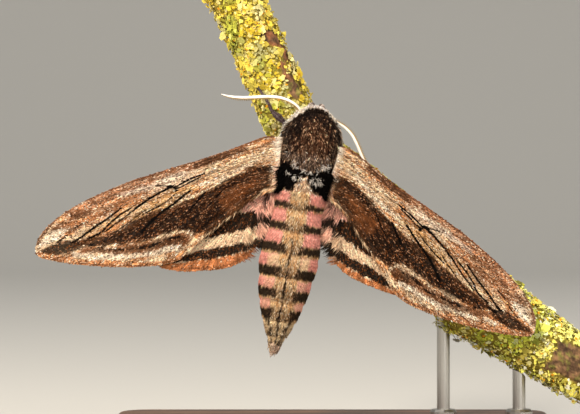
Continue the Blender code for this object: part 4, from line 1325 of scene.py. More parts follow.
    def build_scales(self, draw: Draw) -> None:
        """The scales that shingle the upper side, one small shield each, darker or paler at random.

        Args:
            draw: The seeded random draw.
        """
        tried = self.scales * 3
        along, across = draw.random(tried) * 0.985 + 0.012, draw.random(tried)
        plan, _, _ = self.read(along, across)
        first = self.read(np.minimum(along + 0.01, 1.0), across)[0] - plan
        second = self.read(along, np.clip(across + 0.01, 0, 1))[0] - plan
        area = np.abs(first[:, 0] * second[:, 1] - first[:, 1] * second[:, 0])
        chosen = draw.choice(tried, self.scales, replace=False, p=area / area.sum())
        along, across = along[chosen], across[chosen]
        _, roots, ahead, up = self.surface(along, across)
        ahead = turned_about(ahead, up, draw.normal(0, 0.2, self.scales))
        size = draw.uniform(0.75, 1.3, self.scales)
        sampled = self.colours(np.clip(along + draw.normal(0, 0.002, self.scales), 0, 1), across)
        coat = Coat(
            roots=roots - ahead * 0.1, ahead=ahead, up=up, length=self.scale_size[0] * size,
            width=self.scale_size[1] * size, height=0.02,
            lift=draw.uniform(0.02, 0.14, self.scales), curl=draw.uniform(-0.06, 0.04, self.scales),
            colours=self.speckled(sampled, draw), unwrap=bake_map(along, across),
        )
        piece = coat.grow(self.name + "_scales", SCALE_SHAPE, root_shade=0.75)
        settle(piece, self.name + "_scales", Finish.WING_SCALE, self.slot)

    def build_streak_scales(self, draw: Draw) -> None:
        """The black scales of the thin lines, narrow and set close along the veins, over all others.

        Args:
            draw: The seeded random draw.
        """
        tried = self.STREAK_TRIES
        along, across = draw.random(tried) * 0.975 + 0.015, draw.random(tried)
        plan = spread_out(self.read(along, across)[0], back=True)
        cover = np.zeros(tried)
        for mark in self.streak_marks:
            cover = np.maximum(cover, mark.cover(plan, plan, 0, 0.3))
        chosen = np.flatnonzero(cover > draw.uniform(0.5, 1.0, tried))
        chosen = draw.choice(chosen, min(self.streak_scales, len(chosen)), replace=False)
        along, across, count = along[chosen], across[chosen], len(chosen)
        _, roots, ahead, up = self.surface(along, across)
        coat = Coat(
            roots=roots - ahead * 0.2, ahead=turned_about(ahead, up, draw.normal(0, 0.08, count)), up=up,
            length=draw.uniform(0.4, 0.6, count), width=draw.uniform(0.09, 0.15, count), height=0.03,
            lift=draw.uniform(0.1, 0.18, count), curl=-0.05,
            colours=linear(Tone.BLACK) * draw.uniform(0.6, 3.0, (count, 1)),
            unwrap=bake_map(along, across),
        )
        piece = coat.grow(self.name + "_streak_scales", SCALE_SHAPE)
        settle(piece, self.name + "_streak_scales", Finish.WING_SCALE, self.slot)

    def hair(self, along: Array, across: Array, turns: Array, length: Array, width: float, lift: float,
             colours: Array, draw: Draw) -> Coat:
        """Hair that stands on the upper side.

        Args:
            along: Shares from the root to the margin, one for each tuft.
            across: Shares from the front edge to the inner edge.
            turns: How far each tuft turns from the veins' direction towards the body.
            length: Their lengths.
            width: Their usual width.
            lift: How steeply they stand.
            colours: Rows of linear colours.
            draw: The seeded random draw.

        Returns:
            The coat.
        """
        count = len(along)
        _, roots, ahead, up = self.surface(along, across)
        ahead = turned_about(ahead, up, -self.side * turns + draw.normal(0, 0.16, count))
        return Coat(
            roots=roots - up * 0.04, ahead=ahead, up=up, length=length,
            width=width * draw.uniform(0.7, 1.3, count), height=width * 0.5,
            lift=lift * draw.uniform(0.3, 1.6, count), curl=-0.5 * lift * draw.uniform(0.5, 1.5, count),
            colours=colours * np.exp(draw.normal(0, 0.2, count))[:, None],
            unwrap=bake_map(along, across),
        )

    def settle_hair(self, coat: Coat, label: str, shade: float = 0.65) -> None:
        """Grows a coat of hair and settles it."""
        piece = coat.grow(self.name + label, TUFT_SHAPE, root_shade=shade)
        settle(piece, self.name + label, Finish.WING_HAIR, self.slot)

    def build_fringe(self, draw: Draw) -> None:
        """The fringe of narrow scales all along the outer margin.

        Args:
            draw: The seeded random draw.
        """
        count = self.fringe
        across = np.sort(draw.random(count))
        tone = mixed(Tone.COSTA, Tone.CREAM, draw.random(count) ** 0.5)
        coat = self.hair(np.full(count, 0.995), across, np.zeros(count), draw.uniform(0.16, 0.28, count), 0.1,
                         0.0, tone, draw)
        self.settle_hair(coat, "_fringe")

    def build_root_hair(self, draw: Draw) -> None:
        """Long soft hair over the wing's root: cream in front, pinkish behind, brown where the field begins.

        Args:
            draw: The seeded random draw.
        """
        count = self.root_hairs
        along = draw.random(count) ** 1.3 * self.root_reach
        across = draw.random(count)
        length = draw.uniform(0.5, 1.2, count)
        tips = np.minimum(along + length / np.linalg.norm(np.ptp(self.traced[0], axis=0)), 1)
        plan = spread_out(self.read(tips, across)[0], back=True) - np.array((0.0, self.tuck))
        pink = smooth_step(-1.5, -5.0, plan[:, 1])
        tone = mixed("#fdeedb", "#efb9a0", pink * 0.85)
        edge = self.root_edge + 0.7 * smooth_step(-2.5, 0.0, plan[:, 1])
        edge = edge + 0.5 * noise(plan * 1.5, self.seed, 2)
        tone = mixed(tone, self.colours(tips, across), smooth_step(edge - 0.4, edge + 0.4, plan[:, 0]))
        tone = mixed(tone, "#6a4630", (draw.random(count) < 0.14) * 0.7)
        coat = self.hair(along, across, np.zeros(count), length, 0.1, 0.14, tone, draw)
        self.settle_hair(coat, "_root_hair")

    def build_inner_hair(self, draw: Draw) -> None:
        """Hair along the inner edge, which lies over towards the body and closes the gap beside it.

        Args:
            draw: The seeded random draw.
        """
        count = self.inner_hairs
        along, across = draw.random(count) * 0.97 + 0.02, 1 - 0.16 * draw.random(count) ** 1.5
        fade = 1 - self.inner_fade * smooth_step(0.55, 0.9, along)
        length = draw.uniform(0.8, 1.9, count) * self.inner_length * fade
        coat = self.hair(along, across, np.full(count, self.inner_turn), length, 0.14, 0.1,
                         self.colours(np.minimum(along + 0.02, 1), across), draw)
        self.settle_hair(coat, "_inner_hair")

    def build(self) -> None:
        """Makes the wing."""
        draw = np.random.default_rng(self.seed)
        self.build_membrane()
        self.build_scales(draw)
        if self.streak_marks:
            self.build_streak_scales(draw)
        self.build_fringe(draw)
        self.build_root_hair(draw)
        self.build_inner_hair(draw)


# Where white curly hair stands on the thorax: round the cap's rear edge, and in a tuft on each side.
WISPS = (
    stripe(Tone.WISP, ((-3.6, -1.3), (-2.9, -2.5), (-1.4, -3.4), (0.6, -3.8), (2.4, -3.6), (3.9, -2.4)), 0.2,
           edge=(0.4, 0.8, 0.6)),
    stripe(Tone.WISP, ((-3.5, -4.6), (-2.1, -5.1), (-0.7, -5.4)), 0.45, 0.35, edge=(0.3, 0.6, 0.7)),
    stripe(Tone.WISP, ((1.5, -5.3), (3.0, -5.5), (4.1, -5.5)), 0.35, 0.4, edge=(0.3, 0.6, 0.7)),
)
THORAX_MARKS = (
    patch(Tone.THORAX, ((0.1, 7.9), (1.4, 7.8), (2.4, 7.4), (4.1, 5.9), (5.2, 4.3), (6.0, 2.4), (6.35, 0),
          (6.35, -2), (6.1, -4), (5.9, -6), (5.2, -8.2), (-4.9, -8.2), (-5.5, -6.2), (-5.3, -4.4),
          (-5.1, -2.4), (-5.1, 0), (-5.1, 2.5), (-4.5, 4.2), (-3.8, 5.15), (-1.7, 6.9)),
          edge=(0.2, 0.3, 1.0)),
    stripe(Tone.THORAX_SIDE, ((-3.6, 4.4), (-4.3, 2), (-4.4, -1.6)), 0.3, 0.5, edge=(0.5, 0.8, 0.55)),
    stripe(Tone.THORAX_SIDE, ((4.6, 4.4), (5.5, 1.5), (5.3, -2.0)), 0.4, 0.6, edge=(0.5, 0.7, 0.55)),
    patch(Tone.THORAX_MIDDLE, ((-1.4, 4.6), (1.2, 5.4), (3.0, 4.2), (4.2, 1), (4.0, -1.2), (1.8, -2.6),
          (-0.8, -2.6), (-2.0, -0.8), (-2.0, 1.8)), edge=(1.0, 1.6, 0.75)),
    patch("#7d675a", ((-3.8, -0.2), (-1.6, -1.0), (0.4, -1.2), (2.8, -1.0), (4.4, 0.0), (4.6, -1.6),
          (3.4, -3.2), (1.6, -3.9), (-0.6, -3.8), (-2.4, -3.2), (-3.8, -2.2)), edge=(0.6, 1.2, 0.6)),
    patch(Tone.BLACK, ((-7.2, -3.7), (-4.8, -3.4), (-3.9, -2.9), (-2.4, -3.6), (0.7, -4.3), (3.0, -3.9),
          (4.3, -2.8), (5.4, -3.6), (7.2, -4.4), (7.2, -5.6), (5.0, -7.4), (3.7, -8.2), (2.3, -7.8),
          (1.5, -6.3), (0.6, -5.2), (-0.8, -5.6), (-1.5, -7.0), (-1.7, -8.1), (-4.2, -7.9), (-5.2, -6.6),
          (-7.2, -6.2)), edge=(0.15, 0.35, 1.0)),
    patch("#c9a283", ((-1.8, -8.4), (-1.4, -6.8), (-0.2, -5.5), (0.6, -5.2), (1.5, -6.6), (2.2, -8.4)),
          edge=(0.25, 0.5, 0.95)),
)


@dataclass(frozen=True)
class AbdomenBand:
    """One segment's side markings: where its pink begins, where black takes over and where that ends."""

    pink: float
    black: float
    end: float
    inner: float = 1.9
    cream: float = 0.0


ABDOMEN_MIDDLE = -0.1
ABDOMEN_BANDS = (
    AbdomenBand(-8.0, -10.1, -11.2, 1.8),
    AbdomenBand(-11.3, -13.9, -15.2, 1.9),
    AbdomenBand(-15.3, -17.8, -19.5, 1.9),
    AbdomenBand(-19.8, -22.2, -24.0, 2.0, 0.8),
    AbdomenBand(-24.3, -26.2, -28.0, 2.2, 0.3),
    AbdomenBand(-28.3, -30.0, -31.9, 2.3, 0.3),
)


def block(colour: str, across: tuple[float, float], along: tuple[float, float], **more: tuple) -> Mark:
    """A patch with straight sides, between two distances across the body and two stations along it."""
    (left, right), (top, bottom) = across, along
    return patch(colour, ((left, top), (right, top), (right, bottom), (left, bottom)), **more)


def abdomen_marks() -> tuple[Mark, ...]:
    """The abdomen's markings, the same row for each segment on both sides of the tan middle.

    Returns:
        The markings, lowest first.
    """
    marks = []
    for band in ABDOMEN_BANDS:
        for side in (-1, 1):
            reaches = (band.inner, 7.0, band.inner + 1.7, band.inner - 0.6)
            inner, outer, half, near = (ABDOMEN_MIDDLE + side * reach for reach in reaches)
            pink = (band.pink, band.black)
            marks.append(block(Tone.PINK, (inner, outer), pink, edge=(0.18, 0.25, 1.0)))
            if band.cream:
                marks.append(block(Tone.ABDOMEN_CREAM, (inner, half), pink, edge=(0.6, 0.4, band.cream)))
            black = (band.black, band.end)
            marks.append(block(Tone.ABDOMEN_BLACK, (near, outer), black, edge=(0.22, 0.35, 0.97)))
        reach = 0.5 * (band.black - band.end)
        middle, seam = band.end + reach, band.end + 0.15
        marks += [
            stripe("#4e3a28", ((-1.8, middle), (1.6, middle)), reach * 0.8, edge=(0.3, 0.6, 0.55)),
            stripe(Tone.ABDOMEN_BLACK, ((-1.9, seam), (1.8, seam)), 0.08, edge=(0.08, 0.12, 0.7)),
        ]
    marks += [
        stripe(Tone.BLACK, ((-0.15, -14.8), (-0.2, -20), (-0.25, -26), (-0.3, -31), (-0.3, -36)), 0.1, 0.16,
               edge=(0.12, 0.25, 0.9)),
        *(
            stripe(Tone.BLACK, ((-0.25, start), (-0.3, start - 2.6)), 0.22, 0.2, edge=(0.12, 0.2, 0.9))
            for start in (-22.8, -26.0, -29.4)
        ),
        patch(Tone.ABDOMEN_CREAM, ((-4.2, -32.0), (-0.1, -31.9), (3.6, -32.0), (2.2, -35), (0.6, -38.6),
              (-1.0, -38.6), (-2.6, -35)), edge=(0.3, 0.4, 0.55)),
        *(
            stripe(Tone.ABDOMEN_BLACK, points, 0.34, 0.16, edge=(0.2, 0.4, 0.92))
            for points in (
                ((-2.4, -31.6), (-1.6, -34.2), (-0.9, -36.6)), ((2.0, -31.6), (1.1, -34.2), (0.35, -36.6)),
                ((-0.3, -31.5), (-0.25, -34.0), (-0.25, -36.2)),
            )
        ),
        stripe(Tone.ABDOMEN_BLACK, ((-2.2, -34.9), (1.6, -34.9)), 0.1, edge=(0.15, 0.4, 0.7)),
        patch(Tone.TAIL, ((-1.4, -36.8), (0.9, -36.8), (0.4, -39), (-1.0, -39)), edge=(0.5, 0.4, 0.85)),
    ]
    return tuple(marks)


@dataclass(frozen=True)
class HairPlan:
    """One coat of the body's hair: how many tufts, their size and stand, where they grow and what they wear.

    Keep and flow take places in the moth's frame. Keep says which of them carry hair, and flow gives its lie.
    Root shade is how much of its light a tuft keeps at its root. A tone takes the place of the markings.
    """

    name: str
    count: int
    length: float
    width: float
    lift: float
    seed: int
    keep: Callable[[Array], Array]
    flow: Callable[[Array], Array]
    finish: Finish = Finish.THORAX_HAIR
    slot: str = "thorax_fur"
    root_shade: float = 0.55
    tone: str | None = None


@dataclass
class Body:
    """Head, thorax and abdomen: one skin under its coats of hair."""

    head_half: tuple[float, float, float] = (2.55, 2.45, 2.65)
    thorax_depth: float = 0.32
    abdomen_depth: float = 0.3
    voxel_mm: float = 0.28
    thorax_tufts: int = 19500
    head_tufts: int = 4200
    abdomen_tufts: int = 15500
    belly_tufts: int = 4500
    segment_step: float = 0.2
    abdomen_marks: tuple[Mark, ...] = field(default_factory=abdomen_marks)

    FEWEST_TRIES = 90000

    def trunk(self, shares: Array, turns: Array) -> Array:
        """Places on the thorax and abdomen, under the hair, from the front to the tail.

        Args:
            shares: Shares from end to end.
            turns: Turns round the form.

        Returns:
            Rows of world millimetres.
        """
        front, tail = THORAX_SECTIONS[0][0], ABDOMEN_SECTIONS[-1][0]
        stations = front + (tail - front) * (0.5 - 0.5 * np.cos(math.pi * shares))
        sections = sections_at(THORAX_SECTIONS[:-1] + ABDOMEN_SECTIONS[1:], stations)
        half_width, half_height, middle_x, middle_z = sections.T
        abdomen_depth = self.abdomen_depth + 0.25 * smooth_step(7, 11, -stations) - 0.25
        depth = np.where(stations > WAIST, self.thorax_depth, abdomen_depth)
        swell = np.zeros(len(stations))
        for start, end in zip(SEGMENT_ENDS, SEGMENT_ENDS[1:-1]):
            share = (start - stations) / (start - end)
            within = (share >= 0) & (share < 1)
            swell[within] = self.segment_step * smooth_step(0.0, 0.5, share[within])
        inset = np.minimum(depth - swell, half_width * 0.6)
        closing = np.sqrt(np.clip(np.minimum(shares, 1 - shares) * 60, 0, 1))
        x = middle_x + (half_width - inset) * closing * np.cos(turns)
        z = middle_z + (half_height - inset) * closing * np.sin(turns)
        return POSE.to_world(np.column_stack((x, stations, z)))

    def head_ball(self, shares: Array, turns: Array) -> Array:
        """Places on the head, its poles fore and aft, the face drawn in below.

        Args:
            shares: Shares from end to end.
            turns: Turns round the form.

        Returns:
            Rows of world millimetres.
        """
        slope = math.pi * shares
        x = self.head_half[0] * np.sin(slope) * np.cos(turns)
        y = -self.head_half[1] * np.cos(slope)
        z = self.head_half[2] * np.sin(slope) * np.sin(turns)
        narrow = 1 - 0.16 * smooth_step(0.0, 2.5, -z)
        rows = np.column_stack((x * narrow, y, z)) + np.array(HEAD_MIDDLE)
        return POSE.to_world(rows)

    def build_skin(self) -> Piece:
        """One skin of head, thorax and abdomen, fused and smoothed.

        Returns:
            The skin.
        """
        skin = wrapped_ball("trunk", 48, 150, self.trunk)
        head = wrapped_ball("head_ball", 32, 24, self.head_ball)
        deselect()
        head.select_set(True)
        skin.select_set(True)
        bpy.context.view_layer.objects.active = skin
        bpy.ops.object.join()
        apply_modifier(skin, "REMESH", mode="VOXEL", voxel_size=self.voxel_mm * MM, use_smooth_shade=True)
        apply_modifier(skin, "SMOOTH", factor=0.5, iterations=3)
        colour_vertices(skin, self.colours(POSE.from_world(places_of(skin))) * 0.55)
        settle(skin, "body_skin", Finish.BODY_SKIN, "thorax_fur", "head", "thorax", "abdomen")
        return skin

    def colours(self, rows: Array) -> Array:
        """The body's markings at places in the moth's frame.

        Args:
            rows: Rows of places in the moth's frame.

        Returns:
            Rows of linear colours.
        """
        plan = rows[:, :2]
        thorax = self.thorax_colours(rows)
        grain = np.column_stack((rows[:, 0] * 3.0, rows[:, 1] * 1.1)) + 3.1
        cloud = smooth_step(-0.6, 0.6, noise(grain, 5, 3))
        ground = mixed(Tone.ABDOMEN_TAN, Tone.ABDOMEN_CREAM, 0.55 * cloud)
        abdomen = paint(plan, grain, ground, self.abdomen_marks)
        below = smooth_step(0.5, 3.2, -rows[:, 2] - 0.6 - 0.05 * np.abs(rows[:, 1] - WAIST))
        abdomen = mixed(abdomen, Tone.UNDERSIDE, 0.85 * below)
        return mixed(thorax, abdomen, smooth_step(7.7, 8.3, -rows[:, 1] + 0.25 * noise(rows * 2.0, 8, 2)))

    def thorax_colours(self, rows: Array) -> Array:
        """The markings of thorax and head.

        Args:
            rows: Rows of places in the moth's frame.

        Returns:
            Rows of linear colours.
        """
        plan = rows[:, :2]
        grain = np.column_stack((rows[:, 0] * 3.0, rows[:, 1] * 1.2))
        ground = np.repeat(linear(Tone.COLLAR)[None], len(rows), axis=0)
        top = paint(plan, grain, ground, THORAX_MARKS)
        side = mixed(Tone.COLLAR, Tone.HEAD, smooth_step(0.0, 3.5, -rows[:, 2]))
        colours = mixed(top, side, smooth_step(-1.2, 0.6, -rows[:, 2]))
        head = smooth_step(6.7, 7.5, rows[:, 1] + 0.1 * np.abs(rows[:, 0]) - 0.45 * rows[:, 2])
        return mixed(colours, Tone.HEAD, head * smooth_step(-0.4, 0.4, 1.0 - rows[:, 2]))

    def speckled(self, rows: Array, colours: Array, draw: Draw) -> Array:
        """Makes hairs differ one by one: the cap is shot with cream and black, the black parts hardly.

        Args:
            rows: Rows of places in the moth's frame.
            colours: The markings' colours there.
            draw: The seeded random draw.

        Returns:
            Rows of linear colours.
        """
        count = len(rows)
        light = colours @ LUMINANCE
        pick = draw.random(count)
        middle = smooth_step(2.6, 1.8, np.abs(rows[:, 0] + 0.1))
        tail = 0.9 * smooth_step(-31.5, -33.0, rows[:, 1])
        middle = middle * smooth_step(-33.5, -31.5, rows[:, 1])
        thorax = rows[:, 1] > WAIST
        dark = (pick < 0.4) * draw.uniform(0.3, 1.0, count)
        dark = dark * np.where(thorax, smooth_step(0.012, 0.03, light) * smooth_step(0.4, 0.25, light),
                               np.maximum(middle, tail))
        pale = (pick > 0.76) * draw.uniform(0.25, 1.0, count)
        pale = pale * np.where(thorax, smooth_step(0.005, 0.03, light), np.maximum(middle, tail))
        colours = mixed(colours, "#1c120b", dark)
        clump = np.exp(thorax * 0.95 * noise(rows * 3.2, 41, 2))
        colours = mixed(colours, mixed("#c79d7c", "#fbe9cf", smooth_step(0.05, 0.2, light)), pale)
        return colours * (clump * np.exp(draw.normal(0, 1, count) * np.where(thorax, 0.6, 0.25)))[:, None]

    @staticmethod
    def backward(rows: Array) -> Array:
        """The lie of the body's hair: to the tail, spreading a little."""
        return np.column_stack((0.12 * rows[:, 0], np.full(len(rows), -1.0), np.zeros(len(rows))))

    @staticmethod
    def facial(rows: Array) -> Array:
        """The lie of the head's hair: out from its middle, to the front and down the face."""
        away = unit(rows - np.array(HEAD_MIDDLE))
        return away * 0.5 + np.array((0.0, 1.0, 0.15))

    def hair(self, skin: Piece, plan: HairPlan) -> None:
        """One coat of hair tufts over a part of the skin.

        Args:
            skin: The skin that it grows on.
            plan: Where and how it grows.
        """
        draw = np.random.default_rng(plan.seed)
        places, normals = scatter(skin, max(plan.count * 4, self.FEWEST_TRIES), draw)
        rows = POSE.from_world(places)
        kept = np.flatnonzero(plan.keep(rows))[:plan.count]
        places, normals, rows = places[kept], normals[kept], rows[kept]
        total = len(kept)
        lie = POSE.turn(plan.flow(rows))
        ahead = lie - normals * np.sum(lie * normals, axis=1, keepdims=True)
        steep = np.clip(np.linalg.norm(ahead, axis=1), 0, 1)
        toss = np.where(rows[:, 1] > WAIST, 0.4, 0.22)
        ahead = turned_about(unit(ahead), normals, draw.normal(0, 1, total) * toss)
        size = draw.uniform(0.7, 1.3, total) * (0.55 + 0.45 * steep)
        size = size * (1 + 0.4 * smooth_step(-35, -37.5, rows[:, 1]))
        tips = POSE.from_world(places + ahead * (0.45 * plan.length * size)[:, None])
        if plan.tone:
            colours = linear(plan.tone) * draw.uniform(0.45, 1.1, (total, 1))
        else:
            colours = self.speckled(rows, self.colours(tips), draw)
        coat = Coat(
            roots=places - normals * 0.05, ahead=ahead, up=normals, length=plan.length * size,
            width=plan.width * draw.uniform(0.7, 1.3, total), height=plan.width * 0.45,
            lift=plan.lift * draw.uniform(0.5, 1.5, total), curl=draw.uniform(-0.5, -0.1, total) * plan.lift,
            colours=colours, unwrap=self.unwrap(rows),
        )
        settle(coat.grow(plan.name, TUFT_SHAPE, plan.root_shade), plan.name, plan.finish, plan.slot)

    @staticmethod
    def unwrap(rows: Array) -> Array:
        """Unwraps the body's skin round its long axis.

        Args:
            rows: Rows of places in the moth's frame.

        Returns:
            Rows of places on the bake map.
        """
        turns = np.arctan2(rows[:, 2], rows[:, 0]) / TAU + 0.5
        stations = (THORAX_SECTIONS[0][0] + 1.2 - rows[:, 1]) / 48.0
        return bake_map(turns, stations)

    def build(self) -> None:
        """Makes the skin and its coats."""
        skin = self.build_skin()
        below = {"flow": self.backward, "finish": Finish.ABDOMEN_HAIR, "slot": "abdomen_fur"}
        for plan in (
            HairPlan("thorax_hair", self.thorax_tufts, 0.55, 0.13, 0.32, 21, self.on_thorax, self.backward),
            HairPlan("abdomen_hair", self.abdomen_tufts, 0.65, 0.12, 0.18, 22, self.on_abdomen, **below),
            HairPlan("belly_hair", self.belly_tufts, 1.0, 0.2, 0.18, 23, self.on_belly, **below),
            HairPlan("lobe_hair", 900, 1.6, 0.2, 0.6, 26, self.on_lobe, self.sideways, tone=Tone.BLACK),
            HairPlan("wisp_hair", 230, 0.75, 0.09, 0.6, 27, self.on_wisps, self.splayed, root_shade=0.7,
                     tone=Tone.WISP),
            HairPlan("collar_hair", 1500, 1.25, 0.14, 0.42, 25, self.on_collar, self.backward,
                     root_shade=0.75),
            HairPlan("head_hair", self.head_tufts, 1.2, 0.13, 0.35, 24, self.on_head, self.facial,
                     slot="head_fur", root_shade=0.8),
        ):
            self.hair(skin, plan)

    def on_thorax(self, rows: Array) -> Array:
        """Says which places of the skin belong to the thorax."""
        return (rows[:, 1] > WAIST) & ~self.on_head(rows)

    @staticmethod
    def on_abdomen(rows: Array) -> Array:
        """Says which places of the skin belong to the abdomen's back and sides."""
        return (rows[:, 1] <= -7.8) & (rows[:, 2] > -2)

    @staticmethod
    def on_belly(rows: Array) -> Array:
        """Says which places of the skin belong to the abdomen's underside."""
        return (rows[:, 1] <= -7.8) & (rows[:, 2] <= -2)

    @staticmethod
    def on_lobe(rows: Array) -> Array:
        """Says which places carry the black lobes at the thorax's rear corners."""
        x, y, z = rows.T
        return (y > -7.9) & (y < -3.6) & (z > 1.6) & (np.abs(x - 0.2) > 3.5)

    @staticmethod
    def on_wisps(rows: Array) -> Array:
        """Says which places carry the white curly hair."""
        cover = [mark.cover(rows[:, :2], rows[:, :2] * 2, 5) for mark in WISPS]
        return (np.max(cover, axis=0) > 0.4) & (rows[:, 2] > 0)

    @staticmethod
    def splayed(rows: Array) -> Array:
        """The lie of the wisps: back, but each its own way."""
        turns = 1.6 * noise(rows * 4.0, 42, 1)
        return np.column_stack((np.sin(turns), -np.cos(turns), np.zeros(len(rows))))

    @staticmethod
    def sideways(rows: Array) -> Array:
        """The lie of the lobes' hair: back and out."""
        return np.column_stack((1.5 * np.sign(rows[:, 0]), np.full(len(rows), -1.0), np.full(len(rows), 0.3)))

    @staticmethod
    def on_collar(rows: Array) -> Array:
        """Says which places of the thorax's flanks carry the long cream collar hair.

        Args:
            rows: Rows of places in the moth's frame.

        Returns:
            A truth value for each place.
        """
        aside = rows[:, 0] - 0.2
        out = np.where(aside < 0, np.interp(rows[:, 1], (-4, 0, 3, 6), (4.9, 5.0, 4.4, 2.9)),
                       np.interp(rows[:, 1], (-4, 0, 3, 6), (5.3, 5.3, 4.9, 3.2)))
        return (rows[:, 1] > -3.5) & (rows[:, 1] < 6.4) & (rows[:, 2] > -3) & (np.abs(aside) > out)

    @staticmethod
    def on_head(rows: Array) -> Array:
        """Says which places of the skin belong to the head."""
        return rows[:, 1] > np.where(rows[:, 2] < 0.6, 5.2, 7.0)


@dataclass
class Head:
    """The head's own pieces: eyes, palps, rolled tongue and feelers."""

    eye_radius: float = 1.45
    eye_place: tuple[float, float, float] = (2.2, 0.1, -0.9)
    palp_path: Plan = ((0.95, 6.9, -5.55), (1.05, 7.75, -5.6), (1.0, 8.35, -4.9), (0.85, 8.5, -4.0),
                       (0.75, 8.4, -3.3))
    palp_radii: tuple[float, ...] = (0.3, 0.46, 0.5, 0.42, 0.18)
    tongue_middle: tuple[float, float, float] = (0.3, 6.6, -6.05)
    tongue_radius: float = 0.25
    tongue_inner: float = 0.2
    tongue_pitch: float = 0.62
    tongue_turns: float = 1.1
    feeler_shares: tuple[float, ...] = (0.0, 0.25, 0.6, 0.85, 0.96, 1.0)
    feeler_radii: tuple[float, ...] = (0.25, 0.31, 0.34, 0.28, 0.14, 0.05)
    feeler_joints: int = 46
    palp_hairs: int = 700

    PALP_STEPS = 30
    TONGUE_STEPS = 90
    FEELER_STEPS = 260

    FEELER_PATHS = {
        "left": (
            (-1.5, 6.7, -0.75), (-2.5, 7.1, -0.4), (-3.6, 7.9, 0.1), (-5.2, 8.5, 0.5), (-7.0, 8.72, 0.7),
            (-9.2, 8.5, 0.6), (-11.4, 8.05, 0.3), (-13.6, 7.65, 0.0), (-15.8, 7.5, -0.2), (-17.6, 7.7, -0.3),
        ),
        "right": (
            (2.1, 6.7, -0.75), (3.2, 6.45, -0.8), (4.6, 5.95, -0.9), (6.3, 5.2, -1.0), (7.8, 4.0, -1.1),
            (9.1, 2.2, -1.3), (10.1, 0.6, -1.5), (11.3, -1.1, -1.7), (12.9, -2.9, -1.8), (14.6, -4.3, -1.8),
        ),
    }

    def build_eyes(self) -> None:
        """Two compound eyes, dark and glossy."""
        lens = self.eye_material()
        for name, side in (("eye_left", -1), ("eye_right", 1)):
            middle = np.array(HEAD_MIDDLE) + np.array((side, 1, 1)) * np.array(self.eye_place)

            def place(shares: Array, turns: Array, middle: Array = middle) -> Array:
                """Places on the eye."""
                slope = math.pi * shares
                reach = np.sin(slope)
                rows = np.column_stack((reach * np.cos(turns), -np.cos(slope), reach * np.sin(turns)))
                return POSE.to_world(middle + self.eye_radius * rows)

            eye = wrapped_ball(name, 48, 32, place)
            settle(eye, name + "_facets", lens, "eye", name)

    @staticmethod
    def eye_material() -> bpy.types.Material:
        """Compound eye: clear hard lenses over dark brown pigment, its facets drawn larger than real to show.

        Returns:
            The material.
        """
        made, shader, place = shader_on_places("compound_eye_lens", {
            "Roughness": 0.18, "IOR": CHITIN_IOR, "Coat Weight": 0.5,
        })
        tree = made.node_tree
        cells = add_node(tree, "TexVoronoi",
                         inputs={"Vector": place, "Scale": 1 / (0.11 * MM), "Randomness": 0.25})
        cloud = add_node(tree, "TexNoise", inputs={"Vector": place, "Scale": 1 / (0.9 * MM), "Detail": 2.0})
        ramp = add_node(tree, "ValToRGB", inputs={"Fac": cloud.outputs["Fac"]})
        ramp.color_ramp.elements[0].color = (*linear("#120a07"), 1.0)
        ramp.color_ramp.elements[1].color = (*linear("#3a2214"), 1.0)
        tree.links.new(ramp.outputs["Color"], shader.inputs["Base Color"])
        add_bump(tree, shader, cells.outputs["Distance"], 0.03, invert=True)
        return made

    def build_palps(self) -> None:
        """Two furry palps that curve up before the face."""
        draw, count = np.random.default_rng(51), self.palp_hairs
        for name, side in (("palp_left", -1), ("palp_right", 1)):
            path = trace(self.palp_path, np.linspace(0, 1, self.PALP_STEPS)) * np.array((side, 1, 1))
            path[:, 0] += HEAD_MIDDLE[0]
            radii = np.interp(np.linspace(0, 4, self.PALP_STEPS), range(5), self.palp_radii)
            palp = wrapped_ball(name, 20, self.PALP_STEPS, lambda shares, turns, path=path,
                                radii=radii: POSE.to_world(tube_around(path, radii, shares, turns)))
            colour_vertices(palp, linear(Tone.HEAD) * 0.5)
            settle(palp, name + "_skin", Finish.BODY_SKIN, "head_fur", name)
            places, normals = scatter(palp, count, draw, ordered=True)
            moth = POSE.from_world(places)
            _, share = line_distance(moth, path)
            tips = POSE.turn(trace(path, share + 0.04) - trace(path, share - 0.02))
            tone = mixed("#8d7a72", "#e2d2c8", smooth_step(-0.3, 0.5, normals[:, 0] * side))
            coat = Coat(
                roots=places, ahead=tips, up=normals, length=draw.uniform(0.4, 0.7, count),
                width=draw.uniform(0.09, 0.14, count), height=0.05,
                lift=draw.uniform(0.1, 0.35, count), curl=-0.1,
                colours=tone * np.exp(draw.normal(0, 0.2, count))[:, None], unwrap=unwrapped_round(moth),
            )
            fur = coat.grow(name + "_hair", TUFT_SHAPE, root_shade=0.55)
            settle(fur, name + "_hair", Finish.THORAX_HAIR, "head_fur")

    def build_tongue(self) -> None:
        """The tongue, rolled up under the head and ringed like a watch spring."""
        steps = self.TONGUE_STEPS
        turns = np.linspace(0, self.tongue_turns * TAU, steps)
        reach = self.tongue_inner + self.tongue_radius + self.tongue_pitch * turns / TAU
        x, y, z = self.tongue_middle
        path = np.column_stack((np.full(steps, x), y + reach * np.cos(turns), z + reach * np.sin(turns)))
        radii = self.tongue_radius * (1 + 0.07 * np.cos(np.arange(steps) * math.pi))
        tongue = wrapped_ball("tongue", 18, 180, lambda shares, turn: POSE.to_world(
            tube_around(path, radii, shares, turn)))
        colour_vertices(tongue, linear(Tone.TONGUE))
        settle(tongue, "tongue_coil", Finish.LEG_CUTICLE, "tongue", "tongue")

